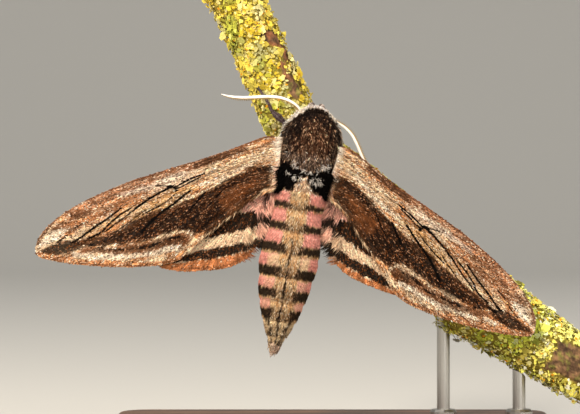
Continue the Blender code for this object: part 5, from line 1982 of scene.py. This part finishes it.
    def build_feelers(self) -> None:
        """Two feelers: white scales above, a yellow-brown comb of short bristles below."""
        draw = np.random.default_rng(52)
        for side, points in self.FEELER_PATHS.items():
            name = "antenna_" + side
            shares = np.linspace(0, 1, self.FEELER_STEPS)
            path = trace(points, shares)
            joints = 1 + 0.045 * np.abs(np.sin(shares * self.feeler_joints * math.pi)) - 0.03
            radii = np.interp(shares, self.feeler_shares, self.feeler_radii) * joints
            feeler = wrapped_ball(name, 20, 200, lambda share, turns, path=path, radii=radii: POSE.to_world(
                tube_around(path, radii, share, turns)))
            moth = POSE.from_world(places_of(feeler))
            _, share = line_distance(moth, path[::6])
            below, _ = self.comb_side(points, share)
            reach = np.sum((moth - trace(points, share)) * below, axis=1)
            reach = reach / np.interp(share, self.feeler_shares, self.feeler_radii)
            tone = mixed(Tone.FEELER, Tone.FEELER_UNDER, smooth_step(0.1, 0.5, reach))
            ring = np.sin(share * self.feeler_joints * TAU) > 0.7
            colour_vertices(feeler, tone * (1 - 0.06 * ring)[:, None])
            settle(feeler, name + "_shaft", Finish.FEELER_SCALE, "antenna", name)
            self.build_comb(name, points, draw)

    @staticmethod
    def comb_side(points: Plan, shares: Array) -> tuple[Array, Array]:
        """The side of a feeler that carries its comb, below and outwards, and the feeler's direction there.

        Args:
            points: The feeler's path.
            shares: Shares of its length.

        Returns:
            Rows of directions, both in the moth's frame.
        """
        ahead = unit(trace(points, shares + 0.01) - trace(points, shares - 0.01))
        aside = np.column_stack((-ahead[:, 1], ahead[:, 0], np.zeros(len(ahead))))
        return unit(aside - np.array((0.0, 0.0, 0.2))), ahead

    def build_comb(self, name: str, points: Plan, draw: Draw) -> None:
        """The comb of short bristles on the underside of a feeler, a row a joint.

        Args:
            name: The feeler's name.
            points: Its path.
            draw: The seeded random draw.
        """
        count = self.feeler_joints * 4
        shares = np.repeat(np.linspace(0.06, 0.95, self.feeler_joints), 4)
        place = trace(points, shares)
        below, ahead = self.comb_side(points, shares)
        spread = np.tile((-1.0, -0.4, 0.4, 1.0), count // 4)[:, None]
        out = unit(below + np.cross(ahead, below) * spread * 0.9)
        radius = np.interp(shares, self.feeler_shares, self.feeler_radii)[:, None]
        length = 0.5 * np.interp(shares, (0, 0.1, 0.8, 1), (0.5, 1, 0.9, 0.3))
        coat = Coat(
            roots=POSE.to_world(place + out * radius * 0.8), ahead=POSE.turn(out + ahead * 0.25),
            up=POSE.turn(ahead), length=length, width=np.full(count, 0.17), height=0.1,
            lift=0.0, curl=draw.uniform(0.0, 0.2, count),
            colours=linear("#b39356") * draw.uniform(0.8, 1.1, (count, 1)),
            unwrap=np.column_stack((shares * BAKE_SHARE + BAKE_RIM, 0.5 + 0.2 * spread[:, 0])),
        )
        comb = coat.grow(name + "_comb", TUFT_SHAPE, root_shade=0.8)
        settle(comb, name + "_comb", Finish.FEELER_SCALE, "antenna")

    def build(self) -> None:
        """Makes the head's pieces."""
        self.build_eyes()
        self.build_palps()
        self.build_tongue()
        self.build_feelers()


@dataclass
class Twig:
    """The cut length of twig: cracked bark under cushions, lobes and discs of lichen."""

    path: Plan = (
        (-21.9, 90.2, 4.5, 5.1), (-17.8, 82.7, 4.5, 5.2), (-13.6, 74.0, 4.5, 5.3), (-9.8, 65.4, 4.5, 5.5),
        (-7.4, 59.9, 4.5, 5.6), (-3.6, 55.5, 4.5, 5.5), (3.1, 50.1, 4.5, 5.4), (13.0, 41.9, 4.7, 5.6),
        (20.7, 35.1, 5.1, 6.2), (28.5, 27.3, 5.4, 7.0), (34.4, 22.4, 5.5, 7.1), (41.1, 18.0, 5.5, 6.4),
        (47.0, 14.5, 5.5, 6.1), (53.0, 11.2, 5.5, 6.0),
    )
    cut: tuple[float, float] = (1.6, 109.6)
    crust_depth: float = 0.45
    lobes: int = 14400
    toss: float = 0.28
    cushion_middle: tuple[float, float, float] = (21.0, 4.0, 25.5)
    cushion_reach: tuple[float, float, float] = (12.0, 8.0, 12.0)
    cushion_height: float = 2.8

    READINGS = 600
    RING_MM = 0.9
    SAWN_MM = 0.12
    # Bare bark on the front, in world (across, up): two stripes on the upper part, and the lower end.
    BARE = (
        stripe("#000000", ((-12.9, 77.9), (-11.4, 76.9), (-9.9, 75.6), (-8.9, 73.6)), 1.1, 0.8,
               edge=(0.3, 0.5, 1.0)),
        stripe("#000000", ((-9.9, 72.0), (-9.3, 70.6), (-8.2, 68.8), (-7.2, 66.9)), 0.5, 1.2,
               edge=(0.3, 0.5, 1.0)),
        patch("#000000", ((42.1, 19.8), (44.5, 19.5), (47.0, 18.0), (53.0, 14.0), (52.0, 9.0), (46.5, 11.6),
              (43.0, 13.1), (39.8, 14.2), (40.9, 16.6)), edge=(0.3, 0.6, 1.0)),
    )
    # Where the lichen is greener, greyer or paler, in the same plan.
    TINTS = (
        stripe("#a3b03a", ((-19.9, 80.4), (-19.0, 77.5), (-18.2, 74.8)), 1.0, edge=(0.8, 0.8, 0.7)),
        patch("#a8ae44", ((-16.0, 73.6), (-12.6, 74.0), (-11.8, 71.6), (-14.8, 71.0)), edge=(0.8, 0.8, 0.75)),
        patch("#a9ac82", ((-15.4, 75.8), (-11.2, 76.2), (-10.0, 73.0), (-13.8, 73.6)), edge=(0.8, 0.9, 0.7)),
        patch("#b3c63a", ((27.0, 24.0), (37.5, 25.6), (40.5, 21.0), (35.0, 17.2), (27.0, 19.5)),
              edge=(1.2, 1.4, 0.65)),
        patch("#e6e07c", ((43.0, 24.0), (48.0, 20.0), (46.0, 17.6), (41.4, 20.4)), edge=(0.6, 0.6, 0.8)),
        patch("#d6d6be", ((20.0, 24.0), (29.0, 18.0), (27.0, 15.5), (18.0, 21.0)), edge=(1.0, 1.4, 0.6)),
    )

    def __post_init__(self) -> None:
        """Reads the middle line once."""
        plan = np.array([(x, y, z, r) for x, z, y, r in self.path])
        self.length = float(np.linalg.norm(np.diff(plan, axis=0), axis=1).sum())
        self.table = trace(plan, np.linspace(0, 1, self.READINGS))

    def middle(self, along: Array) -> tuple[Array, Array, Array]:
        """Middle, radius and direction of the twig, so many millimetres from its top.

        Args:
            along: Millimetres from the twig's top.

        Returns:
            The three, with one row for each place.
        """
        at = np.clip(np.asarray(along) / self.length, 0, 1) * (self.READINGS - 1)
        knots = np.arange(self.READINGS)
        before, rows, after = (
            np.column_stack([np.interp(at + step, knots, column) for column in self.table.T])
            for step in (-3, 0, 3)
        )
        return rows[:, :3], rows[:, 3], unit(after[:, :3] - before[:, :3])

    def frame(self, along: Array, angle: Array) -> tuple[Array, Array, Array, Array]:
        """Middle, radius, direction and outward direction at an angle, 0 facing the moth, 90 the upper right.

        Args:
            along: Millimetres from the twig's top.
            angle: Turns round it, 0 facing the moth.

        Returns:
            The four, with one row for each place.
        """
        middle, radius, direction = self.middle(along)
        front = np.tile((0.0, -1.0, 0.0), (len(direction), 1))
        front = unit(front - direction * np.sum(front * direction, axis=1, keepdims=True))
        aside = np.cross(front, direction)
        aside = np.where(aside[:, :1] < 0, -aside, aside)
        out = np.cos(angle)[:, None] * front + np.sin(angle)[:, None] * aside
        return middle, radius, direction, out

    def turns_at(self, places: Array, along: Array) -> Array:
        """The angle round the twig of each place, 0 facing the moth.

        Args:
            places: Rows of world millimetres.
            along: Their millimetres from the twig's top.

        Returns:
            One angle for each place.
        """
        middle, _, _, front = self.frame(along, np.zeros(len(along)))
        _, _, _, aside = self.frame(along, np.full(len(along), math.pi / 2))
        away = places - middle
        return np.arctan2(np.sum(away * aside, axis=1), np.sum(away * front, axis=1))

    def point(self, along: Array, angle: Array, lift: Array) -> Array:
        """World places on the twig, raised by a lift over its plain radius."""
        middle, radius, _, out = self.frame(along, angle)
        return middle + out * (radius * 0.97 + lift)[:, None]

    def bareness(self, places: Array, angle: Array) -> Array:
        """How bare of lichen each place is, from 0 to 1.

        Args:
            places: Rows of world millimetres.
            angle: Their turns round the twig.

        Returns:
            One value for each place.
        """
        plan = places[:, [0, 2]]
        facing = smooth_step(-0.2, 0.2, np.cos(angle))
        bare = np.zeros(len(plan))
        for seed, mark in enumerate(self.BARE):
            bare = np.maximum(bare, mark.cover(plan, plan * 0.8, 60 + seed) * facing)
        behind = smooth_step(0.35, 0.6, noise(places * 0.16, 64, 2)) * (1 - facing)
        return np.maximum(bare, behind)

    def relief(self, places: Array, along: Array, angle: Array) -> Array:
        """Height of the bark's cracks and swellings.

        Args:
            places: Rows of world millimetres.
            along: Millimetres from the twig's top.
            angle: Turns round it, 0 facing the moth.

        Returns:
            Millimetres over the plain radius.
        """
        round_about = np.column_stack((np.cos(angle) * 5.5, np.sin(angle) * 5.5, along * 0.35))
        swell = 0.25 * noise(round_about * 0.25, 65, 2)
        cracks = -0.16 * smooth_step(0.1, 0.7, 1 - 3 * np.abs(noise(round_about * 0.9, 66, 2)))
        return swell + cracks + 0.08 * noise(places * 1.6, 67, 3)

    def build_core(self) -> None:
        """The woody core with its bark, and the two sawn ends."""
        first, last = self.cut
        cap_rows, rows = 8, 320

        def place(shares: Array, turns: Array) -> Array:
            """Places on the core: the ends are flat discs."""
            row = shares * rows
            along = first + (last - first) * np.clip((row - cap_rows) / (rows - 2 * cap_rows), 0, 1)
            inward = np.clip(np.minimum(row, rows - row) / cap_rows, 0, 1)
            middle, radius, _, out = self.frame(along, turns)
            plain = middle + out * radius[:, None]
            lift = self.relief(plain, along, turns) - self.crust_depth + 0.25 * self.bareness(plain, turns)
            lift = lift + 0.9 * self.cushion(plain, out)
            return middle + out * ((radius * 0.97 + lift) * inward**0.8)[:, None]

        core = wrapped_ball("perch_twig", 112, rows, place)
        colour_vertices(core, self.bark_colours(places_of(core)))
        settle(core, "twig_bark", Finish.BARK, "lichened_bark", "perch_twig")

    def bark_colours(self, places: Array) -> Array:
        """Bark and sawn wood: brown and cracked, redder above, greened by algae, ringed at the two cuts.

        Args:
            places: Rows of world millimetres.

        Returns:
            Rows of linear colours.
        """
        _, share = line_distance(places, self.table[:, :3])
        along = share * self.length
        cloud = smooth_step(-0.5, 0.5, noise(places * 0.9, 68, 3))
        red = smooth_step(66.0, 72.0, places[:, 2])
        algae = smooth_step(0.2, 0.6, noise(places * 1.2, 70, 3)) * (1 - red)
        bark = mixed("#59422f", "#94704f", cloud)
        for colour, share in (
            ("#2e241a", 0.8 * smooth_step(0.0, 0.8, noise(places * 2.0, 69, 2))),
            ("#96532f", 0.6 * red * cloud), ("#86883c", 0.6 * algae),
            ("#9a8c34", 0.85 * (1 - self.bareness(places, self.turns_at(places, along)))),
        ):
            bark = mixed(bark, colour, share)
        middle, _, _ = self.middle(along)
        rings = 0.5 + 0.5 * np.sin(np.linalg.norm(places - middle, axis=1) * TAU / self.RING_MM)
        sawn = (along < self.cut[0] + self.SAWN_MM) | (along > self.cut[1] - self.SAWN_MM)
        return np.where(sawn[:, None], mixed("#d9bd8f", "#b28e5f", rings), bark)

    def cushion(self, places: Array, out: Array) -> Array:
        """How much higher the lichen stands on the cushion under the right forewing.

        Args:
            places: Rows of world millimetres.
            out: Rows of outward directions.

        Returns:
            Millimetres for each place.
        """
        away = np.linalg.norm((places - np.array(self.cushion_middle)) / np.array(self.cushion_reach), axis=1)
        low = smooth_step(-0.2, 0.5, -out[:, 2]) * smooth_step(18.5, 22.5, places[:, 0])
        return self.cushion_height * smooth_step(1.0, 0.2, away) * low

    def shelter(self, places: Array, angle: Array) -> Array:
        """Where the lichen lies flat behind the right forewing's front edge, from 0 to 1."""
        along = smooth_step(-3.0, 1.0, places[:, 0]) * smooth_step(34.0, 31.0, places[:, 0])
        return along * smooth_step(0.5, 0.85, np.sin(angle))

    @staticmethod
    def lower_part(places: Array) -> Array:
        """How far each place belongs to the twig's lower part, right of the head, from 0 to 1."""
        return smooth_step(45.0, 30.0, places[:, 2])

    def lichen_colours(self, places: Array, draw: Draw) -> Array:
        """Lichen colours: sunny yellow, lemon and lime, greyer on the shaded side and lower down.

        Args:
            places: Rows of world millimetres.
            draw: The seeded random draw.

        Returns:
            Rows of linear colours.
        """
        count = len(places)
        cloud = smooth_step(-0.5, 0.5, noise(places * 0.45, 72, 2))
        colours = mixed("#d6b934", "#ead75c", cloud)
        lower = self.lower_part(places)
        lime = smooth_step(0.45, 0.7, noise(places * 0.3, 73, 2) + 0.2 * lower)
        grey = smooth_step(0.4, 0.65, noise(places * 0.35, 74, 2) + 0.3 * smooth_step(3, 9, places[:, 1]))
        for colour, share in (
            ("#e8dc6a", 0.7 * lower), ("#a5b340", 0.6 * lime), ("#c9c7a2", 0.6 * grey),
            ("#f4e8a4", 0.6 * (draw.random(count) > 0.8)), ("#8a7a2a", 0.5 * (draw.random(count) > 0.92)),
            ("#f3f1dc", 0.8 * lower * (draw.random(count) > 0.93)),
            ("#3c3a1c", 0.8 * lower * (draw.random(count) > 0.9)),
        ):
            colours = mixed(colours, colour, share)
        front = (places[:, 1] < 5.0).astype(float)
        plan = places[:, [0, 2]]
        for seed, mark in enumerate(self.TINTS):
            colours = mixed(colours, mark.colour, mark.cover(plan, plan * 0.7, 80 + seed) * front)
        return colours * np.exp(draw.normal(0, 0.12, count) * (1 + 1.2 * lower))[:, None]

    def build_lobes(self, name: str, count: int, size: tuple[float, float], thick: float, seed: int,
                    sides: int, tone: str | None = None) -> None:
        """A crust of overlapping lobes, each turned its own way.

        Args:
            name: The piece's name.
            count: How many lobes.
            size: The smallest and the largest across.
            thick: Their height as a share of their width.
            seed: The draw's seed.
            sides: Points round each rim.
            tone: One colour for all of them, in place of the lichen's own.
        """
        draw = np.random.default_rng(seed)
        first, last = self.cut
        tried = int(count * 1.25)
        along, angle = draw.uniform(first + 0.3, last - 0.3, tried), draw.uniform(-math.pi, math.pi, tried)
        places = self.point(along, angle, np.zeros(tried))
        kept = np.flatnonzero(draw.random(tried) > self.bareness(places, angle))[:count]
        along, angle, places = along[kept], angle[kept], places[kept]
        total = len(kept)
        _, _, direction, out = self.frame(along, angle)
        lift = self.relief(places, along, angle) - self.crust_depth
        clump = noise(places * 0.7, 75, 2)
        shelter = self.shelter(places, angle)
        across = draw.uniform(*size, total) * (1 + 0.3 * clump) * (1 - 0.25 * shelter)
        ahead = turned_about(direction, out, draw.uniform(0, TAU, total))
        up = unit(out + (self.toss * (1 - 0.7 * shelter))[:, None] * draw.normal(0, 1, (total, 3)))
        loose = draw.uniform(0, 0.35, total)
        high = (0.3 * smooth_step(-0.5, 0.8, clump) + loose) * (1 - 0.8 * shelter)
        high = high + self.cushion(places, out)
        if tone:
            colours, high = linear(tone) * draw.uniform(0.7, 1.1, (total, 1)), high + 0.15
        else:
            colours = self.lichen_colours(places, draw)
        # Lobes that stand lower in the crust get painted shade, and those on the twig's lower part, under the
        # wing, a painted light.
        coat = Coat(roots=self.point(along, angle, lift + high) - ahead * (across * 0.45)[:, None],
                    ahead=ahead, up=up, length=across, width=across * draw.uniform(0.5, 1.0, total),
                    height=across * thick, lift=draw.uniform(-0.1, 0.45, total) * (1 - shelter),
                    curl=draw.uniform(-0.3, 0.1, total),
                    colours=colours * (0.78 + 0.65 * loose + 0.22 * self.lower_part(places))[:, None],
                    unwrap=bake_map(angle / TAU + 0.5, (along - first) / (last - first)))
        piece = coat.grow(name, lobe_shape(seed, sides))
        piece.data.shade_flat()
        settle(piece, name, Finish.LICHEN, "lichened_bark")

    def build(self) -> None:
        """Makes the twig."""
        self.build_core()
        for index in range(3):
            self.build_lobes(f"lichen_crust_{index + 1}", self.lobes // 3, (0.4, 0.95), 0.16, 90 + index, 7)
        self.build_lobes("lichen_leaves", 1500, (1.0, 1.8), 0.08, 95, 11)
        self.build_lobes("lichen_grains", 2500, (0.2, 0.4), 0.5, 96, 6)
        self.build_lobes("lichen_discs", 420, (0.4, 0.7), 0.3, 97, 10, "#f0a21c")


@dataclass(frozen=True)
class LegPlan:
    """The course of a leg in the moth's frame, and where its foot holds the twig: along and round it."""

    hip: tuple[float, float]
    bend: tuple[float, float, float]
    knee: tuple[float, float, float]
    foot: Plan


@dataclass
class Legs:
    """Six hairy legs, smoothed from their solids."""

    twig: Twig
    hairs: int = 1000

    PLANS = {
        "leg_front_left": LegPlan((-1.9, 3.2), (-3.5, 3.0, -6.1), (-5.2, 4.6, -5.9),
                                  ((29.1, -23), (26.4, -25), (23.9, -30))),
        "leg_front_right": LegPlan((2.3, 3.2), (4.3, 2.6, -6.1), (5.0, 4.2, -7.4),
                                   ((38.4, 42), (36.8, 55), (35.2, 68))),
        "leg_mid_left": LegPlan((-2.3, -0.2), (-4.4, -0.9, -6.6), (-5.2, -2.0, -8.8),
                                ((38.5, -68), (40.0, -82), (42.0, -96))),
        "leg_mid_right": LegPlan((2.7, -0.2), (4.9, -1.0, -5.9), (7.4, -1.6, -5.9),
                                 ((47.4, 24), (49.4, 32), (51.6, 38))),
        "leg_hind_left": LegPlan((-2.0, -3.4), (-1.9, -5.6, -6.8), (-1.4, -8.0, -8.2),
                                 ((44.5, -58), (47.5, -67), (50.7, -75))),
        "leg_hind_right": LegPlan((2.6, -3.4), (5.2, -4.4, -5.9), (9.4, -5.4, -5.8),
                                  ((52.6, 12), (55.8, 22), (59.0, 30))),
    }

    def course(self, plan: LegPlan) -> Array:
        """The leg's middle line in world millimetres, from hip to toe.

        Args:
            plan: The leg's plan.

        Returns:
            Rows of points.
        """
        body = POSE.to_world(np.array([(*plan.hip, -5.0), plan.bend, plan.knee]))
        along, turns = np.array(plan.foot).T
        return np.vstack((body, self.twig.point(along, np.radians(turns), np.full(3, 0.6))))

    def build_leg(self, name: str, plan: LegPlan, draw: Draw) -> None:
        """One leg: its smoothed form, darker at the claws, and its hair, thick above and thin on the foot.

        Args:
            name: The leg's solid.
            plan: Its plan.
            draw: The seeded random draw.
        """
        leg = smooth_copy(bpy.data.objects[name])
        course = self.course(plan)
        _, share = line_distance(places_of(leg), course)
        tone = mixed(Tone.LEG, "#241814", smooth_step(0.955, 0.985, share))
        colour_vertices(leg, tone)
        settle(leg, name + "_cuticle", Finish.LEG_CUTICLE, "leg_fur", name)
        places, normals = scatter(leg, self.hairs, draw)
        away, share = line_distance(places, course)
        kept = np.flatnonzero((share < 0.955) & (away < 0.95))
        places, normals, share = places[kept], normals[kept], share[kept]
        total = len(kept)
        ahead = unit(trace(course, share + 0.02) - trace(course, share - 0.02))
        thin = smooth_step(0.9, 0.5, share)
        cloud = draw.random(total)
        coat = Coat(
            roots=places - normals * 0.03, ahead=ahead + 0.25 * draw.normal(0, 1, (total, 3)), up=normals,
            length=(0.3 + 0.45 * thin) * draw.uniform(0.7, 1.3, total), width=0.07 + 0.05 * thin,
            height=0.04, lift=0.08 + 0.3 * thin * draw.random(total), curl=-0.08,
            colours=mixed("#3c2c2d", "#8f7b7a", cloud**2), unwrap=unwrapped_round(places),
        )
        hair = coat.grow(name + "_hair", TUFT_SHAPE, root_shade=0.6)
        settle(hair, name + "_hair", Finish.THORAX_HAIR, "leg_fur")

    def build(self) -> None:
        """Makes the legs."""
        draw = np.random.default_rng(61)
        for name, plan in self.PLANS.items():
            self.build_leg(name, plan, draw)


@dataclass
class Stand:
    """The display stand: an oiled walnut board and two brushed steel rods, kept as the solids have them."""

    def dress(self) -> None:
        """Gives the stand's solids their finishes."""
        wood, steel = self.walnut(), self.steel()
        for name, finish in (("stand_base", wood), ("stand_rod_inner", steel), ("stand_rod_outer", steel)):
            node = bpy.data.objects[name]
            for slot in node.material_slots:
                slot.material = finish

    @staticmethod
    def walnut() -> bpy.types.Material:
        """Oiled walnut, planed and sanded: brown with darker growth lines and fine open pores.

        Returns:
            The material.
        """
        made, shader, place = shader_on_places("oiled_walnut", {"IOR": 1.5})
        tree = made.node_tree
        bands = add_node(tree, "TexWave", {"wave_type": "RINGS", "rings_direction": "X"}, {
            "Vector": stretched(tree, place, (0.12, 1.0, 1.0)), "Scale": 0.25 / (4.0 * MM), "Distortion": 5.0,
            "Detail": 3.0, "Detail Scale": 2.0,
        }).outputs["Fac"]
        pores = add_node(tree, "TexNoise", inputs={
            "Vector": stretched(tree, place, (0.06, 1.0, 1.0)), "Scale": 1 / (0.35 * MM), "Detail": 4.0,
        }).outputs["Fac"]
        ramp = add_node(tree, "ValToRGB", inputs={"Fac": bands})
        ramp.color_ramp.elements[0].color = (*linear("#4a2f1e"), 1.0)
        ramp.color_ramp.elements[1].color = (*linear("#7b5438"), 1.0)
        shade_by(tree, shader, ramp.outputs["Color"], ranged(tree, pores, 0.6, 1.05, (0.35, 0.6)))
        tree.links.new(ranged(tree, pores, 0.5, 0.32), shader.inputs["Roughness"])
        add_bump(tree, shader, pores, 0.05)
        return made

    @staticmethod
    def steel() -> bpy.types.Material:
        """Stainless steel rod, brushed round: fine scratches that blur its reflection.

        Returns:
            The material.
        """
        made, shader, place = shader_on_places("brushed_stainless_steel", {
            "Metallic": 1.0, "Base Color": (*linear("#b9b7b2"), 1.0),
        })
        tree = made.node_tree
        lines = add_node(tree, "TexNoise", inputs={
            "Vector": stretched(tree, place, (0.1, 0.1, 1.0)), "Scale": 1 / (0.12 * MM), "Detail": 3.0,
        }).outputs["Fac"]
        tree.links.new(ranged(tree, lines, 0.22, 0.42), shader.inputs["Roughness"])
        add_bump(tree, shader, lines, 0.01)
        return made


@dataclass
class Studio:
    """The pale plain set: a curved backdrop, soft lights and the camera at the photograph's place."""

    backdrop: str = "#cbc8c1"
    key_watts: float = 4.9
    fill_watts: float = 1.3
    world_light: float = 0.4
    aim_height: float = 0.045
    floor_size: float = 14.0
    wall_height: float = 3.0
    wall_bend: float = 0.8

    def build_backdrop(self) -> None:
        """A floor that curves up into a wall."""
        deselect()
        bpy.ops.mesh.primitive_plane_add(size=self.floor_size, location=(0, -5.0, 0))
        piece = bpy.context.active_object
        bpy.ops.object.transform_apply(location=True, rotation=True, scale=True)
        bpy.ops.object.mode_set(mode="EDIT")
        bpy.ops.mesh.select_mode(type="EDGE")
        bpy.ops.mesh.select_all(action="DESELECT")
        bpy.ops.object.mode_set(mode="OBJECT")
        for edge in piece.data.edges:
            edge.select = all(piece.data.vertices[v].co.y > 1.5 for v in edge.vertices)
        bpy.ops.object.mode_set(mode="EDIT")
        bpy.ops.mesh.extrude_region_move(TRANSFORM_OT_translate={"value": (0, 0, self.wall_height)})
        bpy.ops.object.mode_set(mode="OBJECT")
        apply_modifier(piece, "BEVEL", width=self.wall_bend, segments=24, limit_method="ANGLE")
        pick(piece)
        bpy.ops.object.shade_smooth()
        made, _, _ = shader_on_places("backdrop_paper", {
            "Base Color": (*linear(self.backdrop), 1.0), "Roughness": 0.95,
        })
        piece.name = "backdrop"
        piece.data.materials.append(made)

    def build_lights(self) -> None:
        """A large soft light up on the left, a weaker one on the right, and an even surround."""
        lights = (
            ("key_light", (-0.26, -0.42, 0.40), 0.0, 0.16, self.key_watts, (1.0, 0.91, 0.79)),
            ("fill_light", (0.4, -0.35, 0.2), 0.0, 0.4, self.fill_watts, (1.0, 0.94, 0.86)),
            ("top_light", (0.0, 0.2, 0.75), 0.0, 0.8, 1.2, (1.0, 1.0, 1.0)),
            ("wall_light", (0.0, 0.9, 1.9), 1.6, 2.2, 9.0, (1.0, 1.0, 1.0)),
        )
        for name, place, aimed_back, size, watts, colour in lights:
            bpy.ops.object.light_add(type="AREA", location=place)
            lamp = bpy.context.active_object
            lamp.name = name
            lamp.data.size = size
            lamp.data.energy = watts
            lamp.data.color = colour
            aim = np.array((0.0, aimed_back, self.aim_height)) - np.array(place)
            lamp.rotation_euler = (math.atan2(math.hypot(aim[0], aim[1]), -aim[2]), 0,
                                   math.atan2(aim[1], aim[0]) - math.pi / 2)
        world = bpy.data.worlds.new("studio")
        world.use_nodes = True
        world.node_tree.nodes["Background"].inputs["Color"].default_value = (1.0, 0.985, 0.96, 1.0)
        world.node_tree.nodes["Background"].inputs["Strength"].default_value = self.world_light
        bpy.context.scene.world = world

    def build_camera(self) -> None:
        """The camera, level and square to the photograph's plane."""
        distance = PHOTO_WIDTH_PX * PIXEL_MM * LENS_MM / SENSOR_MM
        across = (PHOTO_MIDDLE_PX[0] - BASE_COLUMN_PX) * PIXEL_MM
        height = (FLOOR_ROW_PX - PHOTO_MIDDLE_PX[1]) * PIXEL_MM
        place = (across * MM, (WING_PLANE_Y - distance) * MM, height * MM)
        bpy.ops.object.camera_add(location=place, rotation=(math.pi / 2, 0, 0))
        camera = bpy.context.active_object
        camera.name = "camera"
        camera.data.lens = LENS_MM
        camera.data.sensor_width = SENSOR_MM
        camera.data.clip_start = 0.01
        camera.data.clip_end = 10.0
        bpy.context.scene.camera = camera

    def build(self) -> None:
        """Sets up the studio."""
        self.build_backdrop()
        self.build_lights()
        self.build_camera()
        bpy.context.scene.view_settings.view_transform = "Standard"


def wings() -> list[Wing]:
    """The four wings. The right hindwing is tucked further forward than the left one.

    Returns:
        The wings, with all their pieces still to build.
    """
    made = []
    for label, side, tuck in (("left", -1, 0.0), ("right", 1, 2.1)):
        made.append(Wing(
            f"forewing_{label}", side, FOREWING_LINES, FOREWING_MARGIN, FOREWING_ENDS, FOREWING_MARKS,
            (Tone.TAN, Tone.CREAM), "wing_scales", streak_marks=VEIN_STREAKS, seed=11 + side,
        ))
        made.append(Wing(
            f"hindwing_{label}", side, HINDWING_LINES, HINDWING_MARGIN, HINDWING_ENDS, HINDWING_MARKS,
            (Tone.HINDWING_CREAM, Tone.HINDWING_CREAM), "hindwing_scales", drop=1.15, tuck=tuck,
            mark_tuck=0.57 * tuck, dust=0.25, rows=100, columns=90, scales=9000, scale_size=(0.36, 0.2),
            streaks=(7.0, 36.0), fringe=900, root_hairs=1500, root_reach=0.3, root_edge=5.2,
            inner_hairs=1700, inner_turn=0.85, inner_length=1.45 + 0.15 * tuck, inner_fade=0.35,
            seed=31 + side,
        ))
    return made


def main() -> None:
    """Builds the finished model and its studio."""
    logging.basicConfig(level=logging.INFO, format="%(message)s")
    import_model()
    Studio().build()
    Stand().dress()
    for wing in wings():
        wing.build()
    Body().build()
    Head().build()
    twig = Twig()
    twig.build()
    Legs(twig).build()


if __name__ == "__main__":
    main()
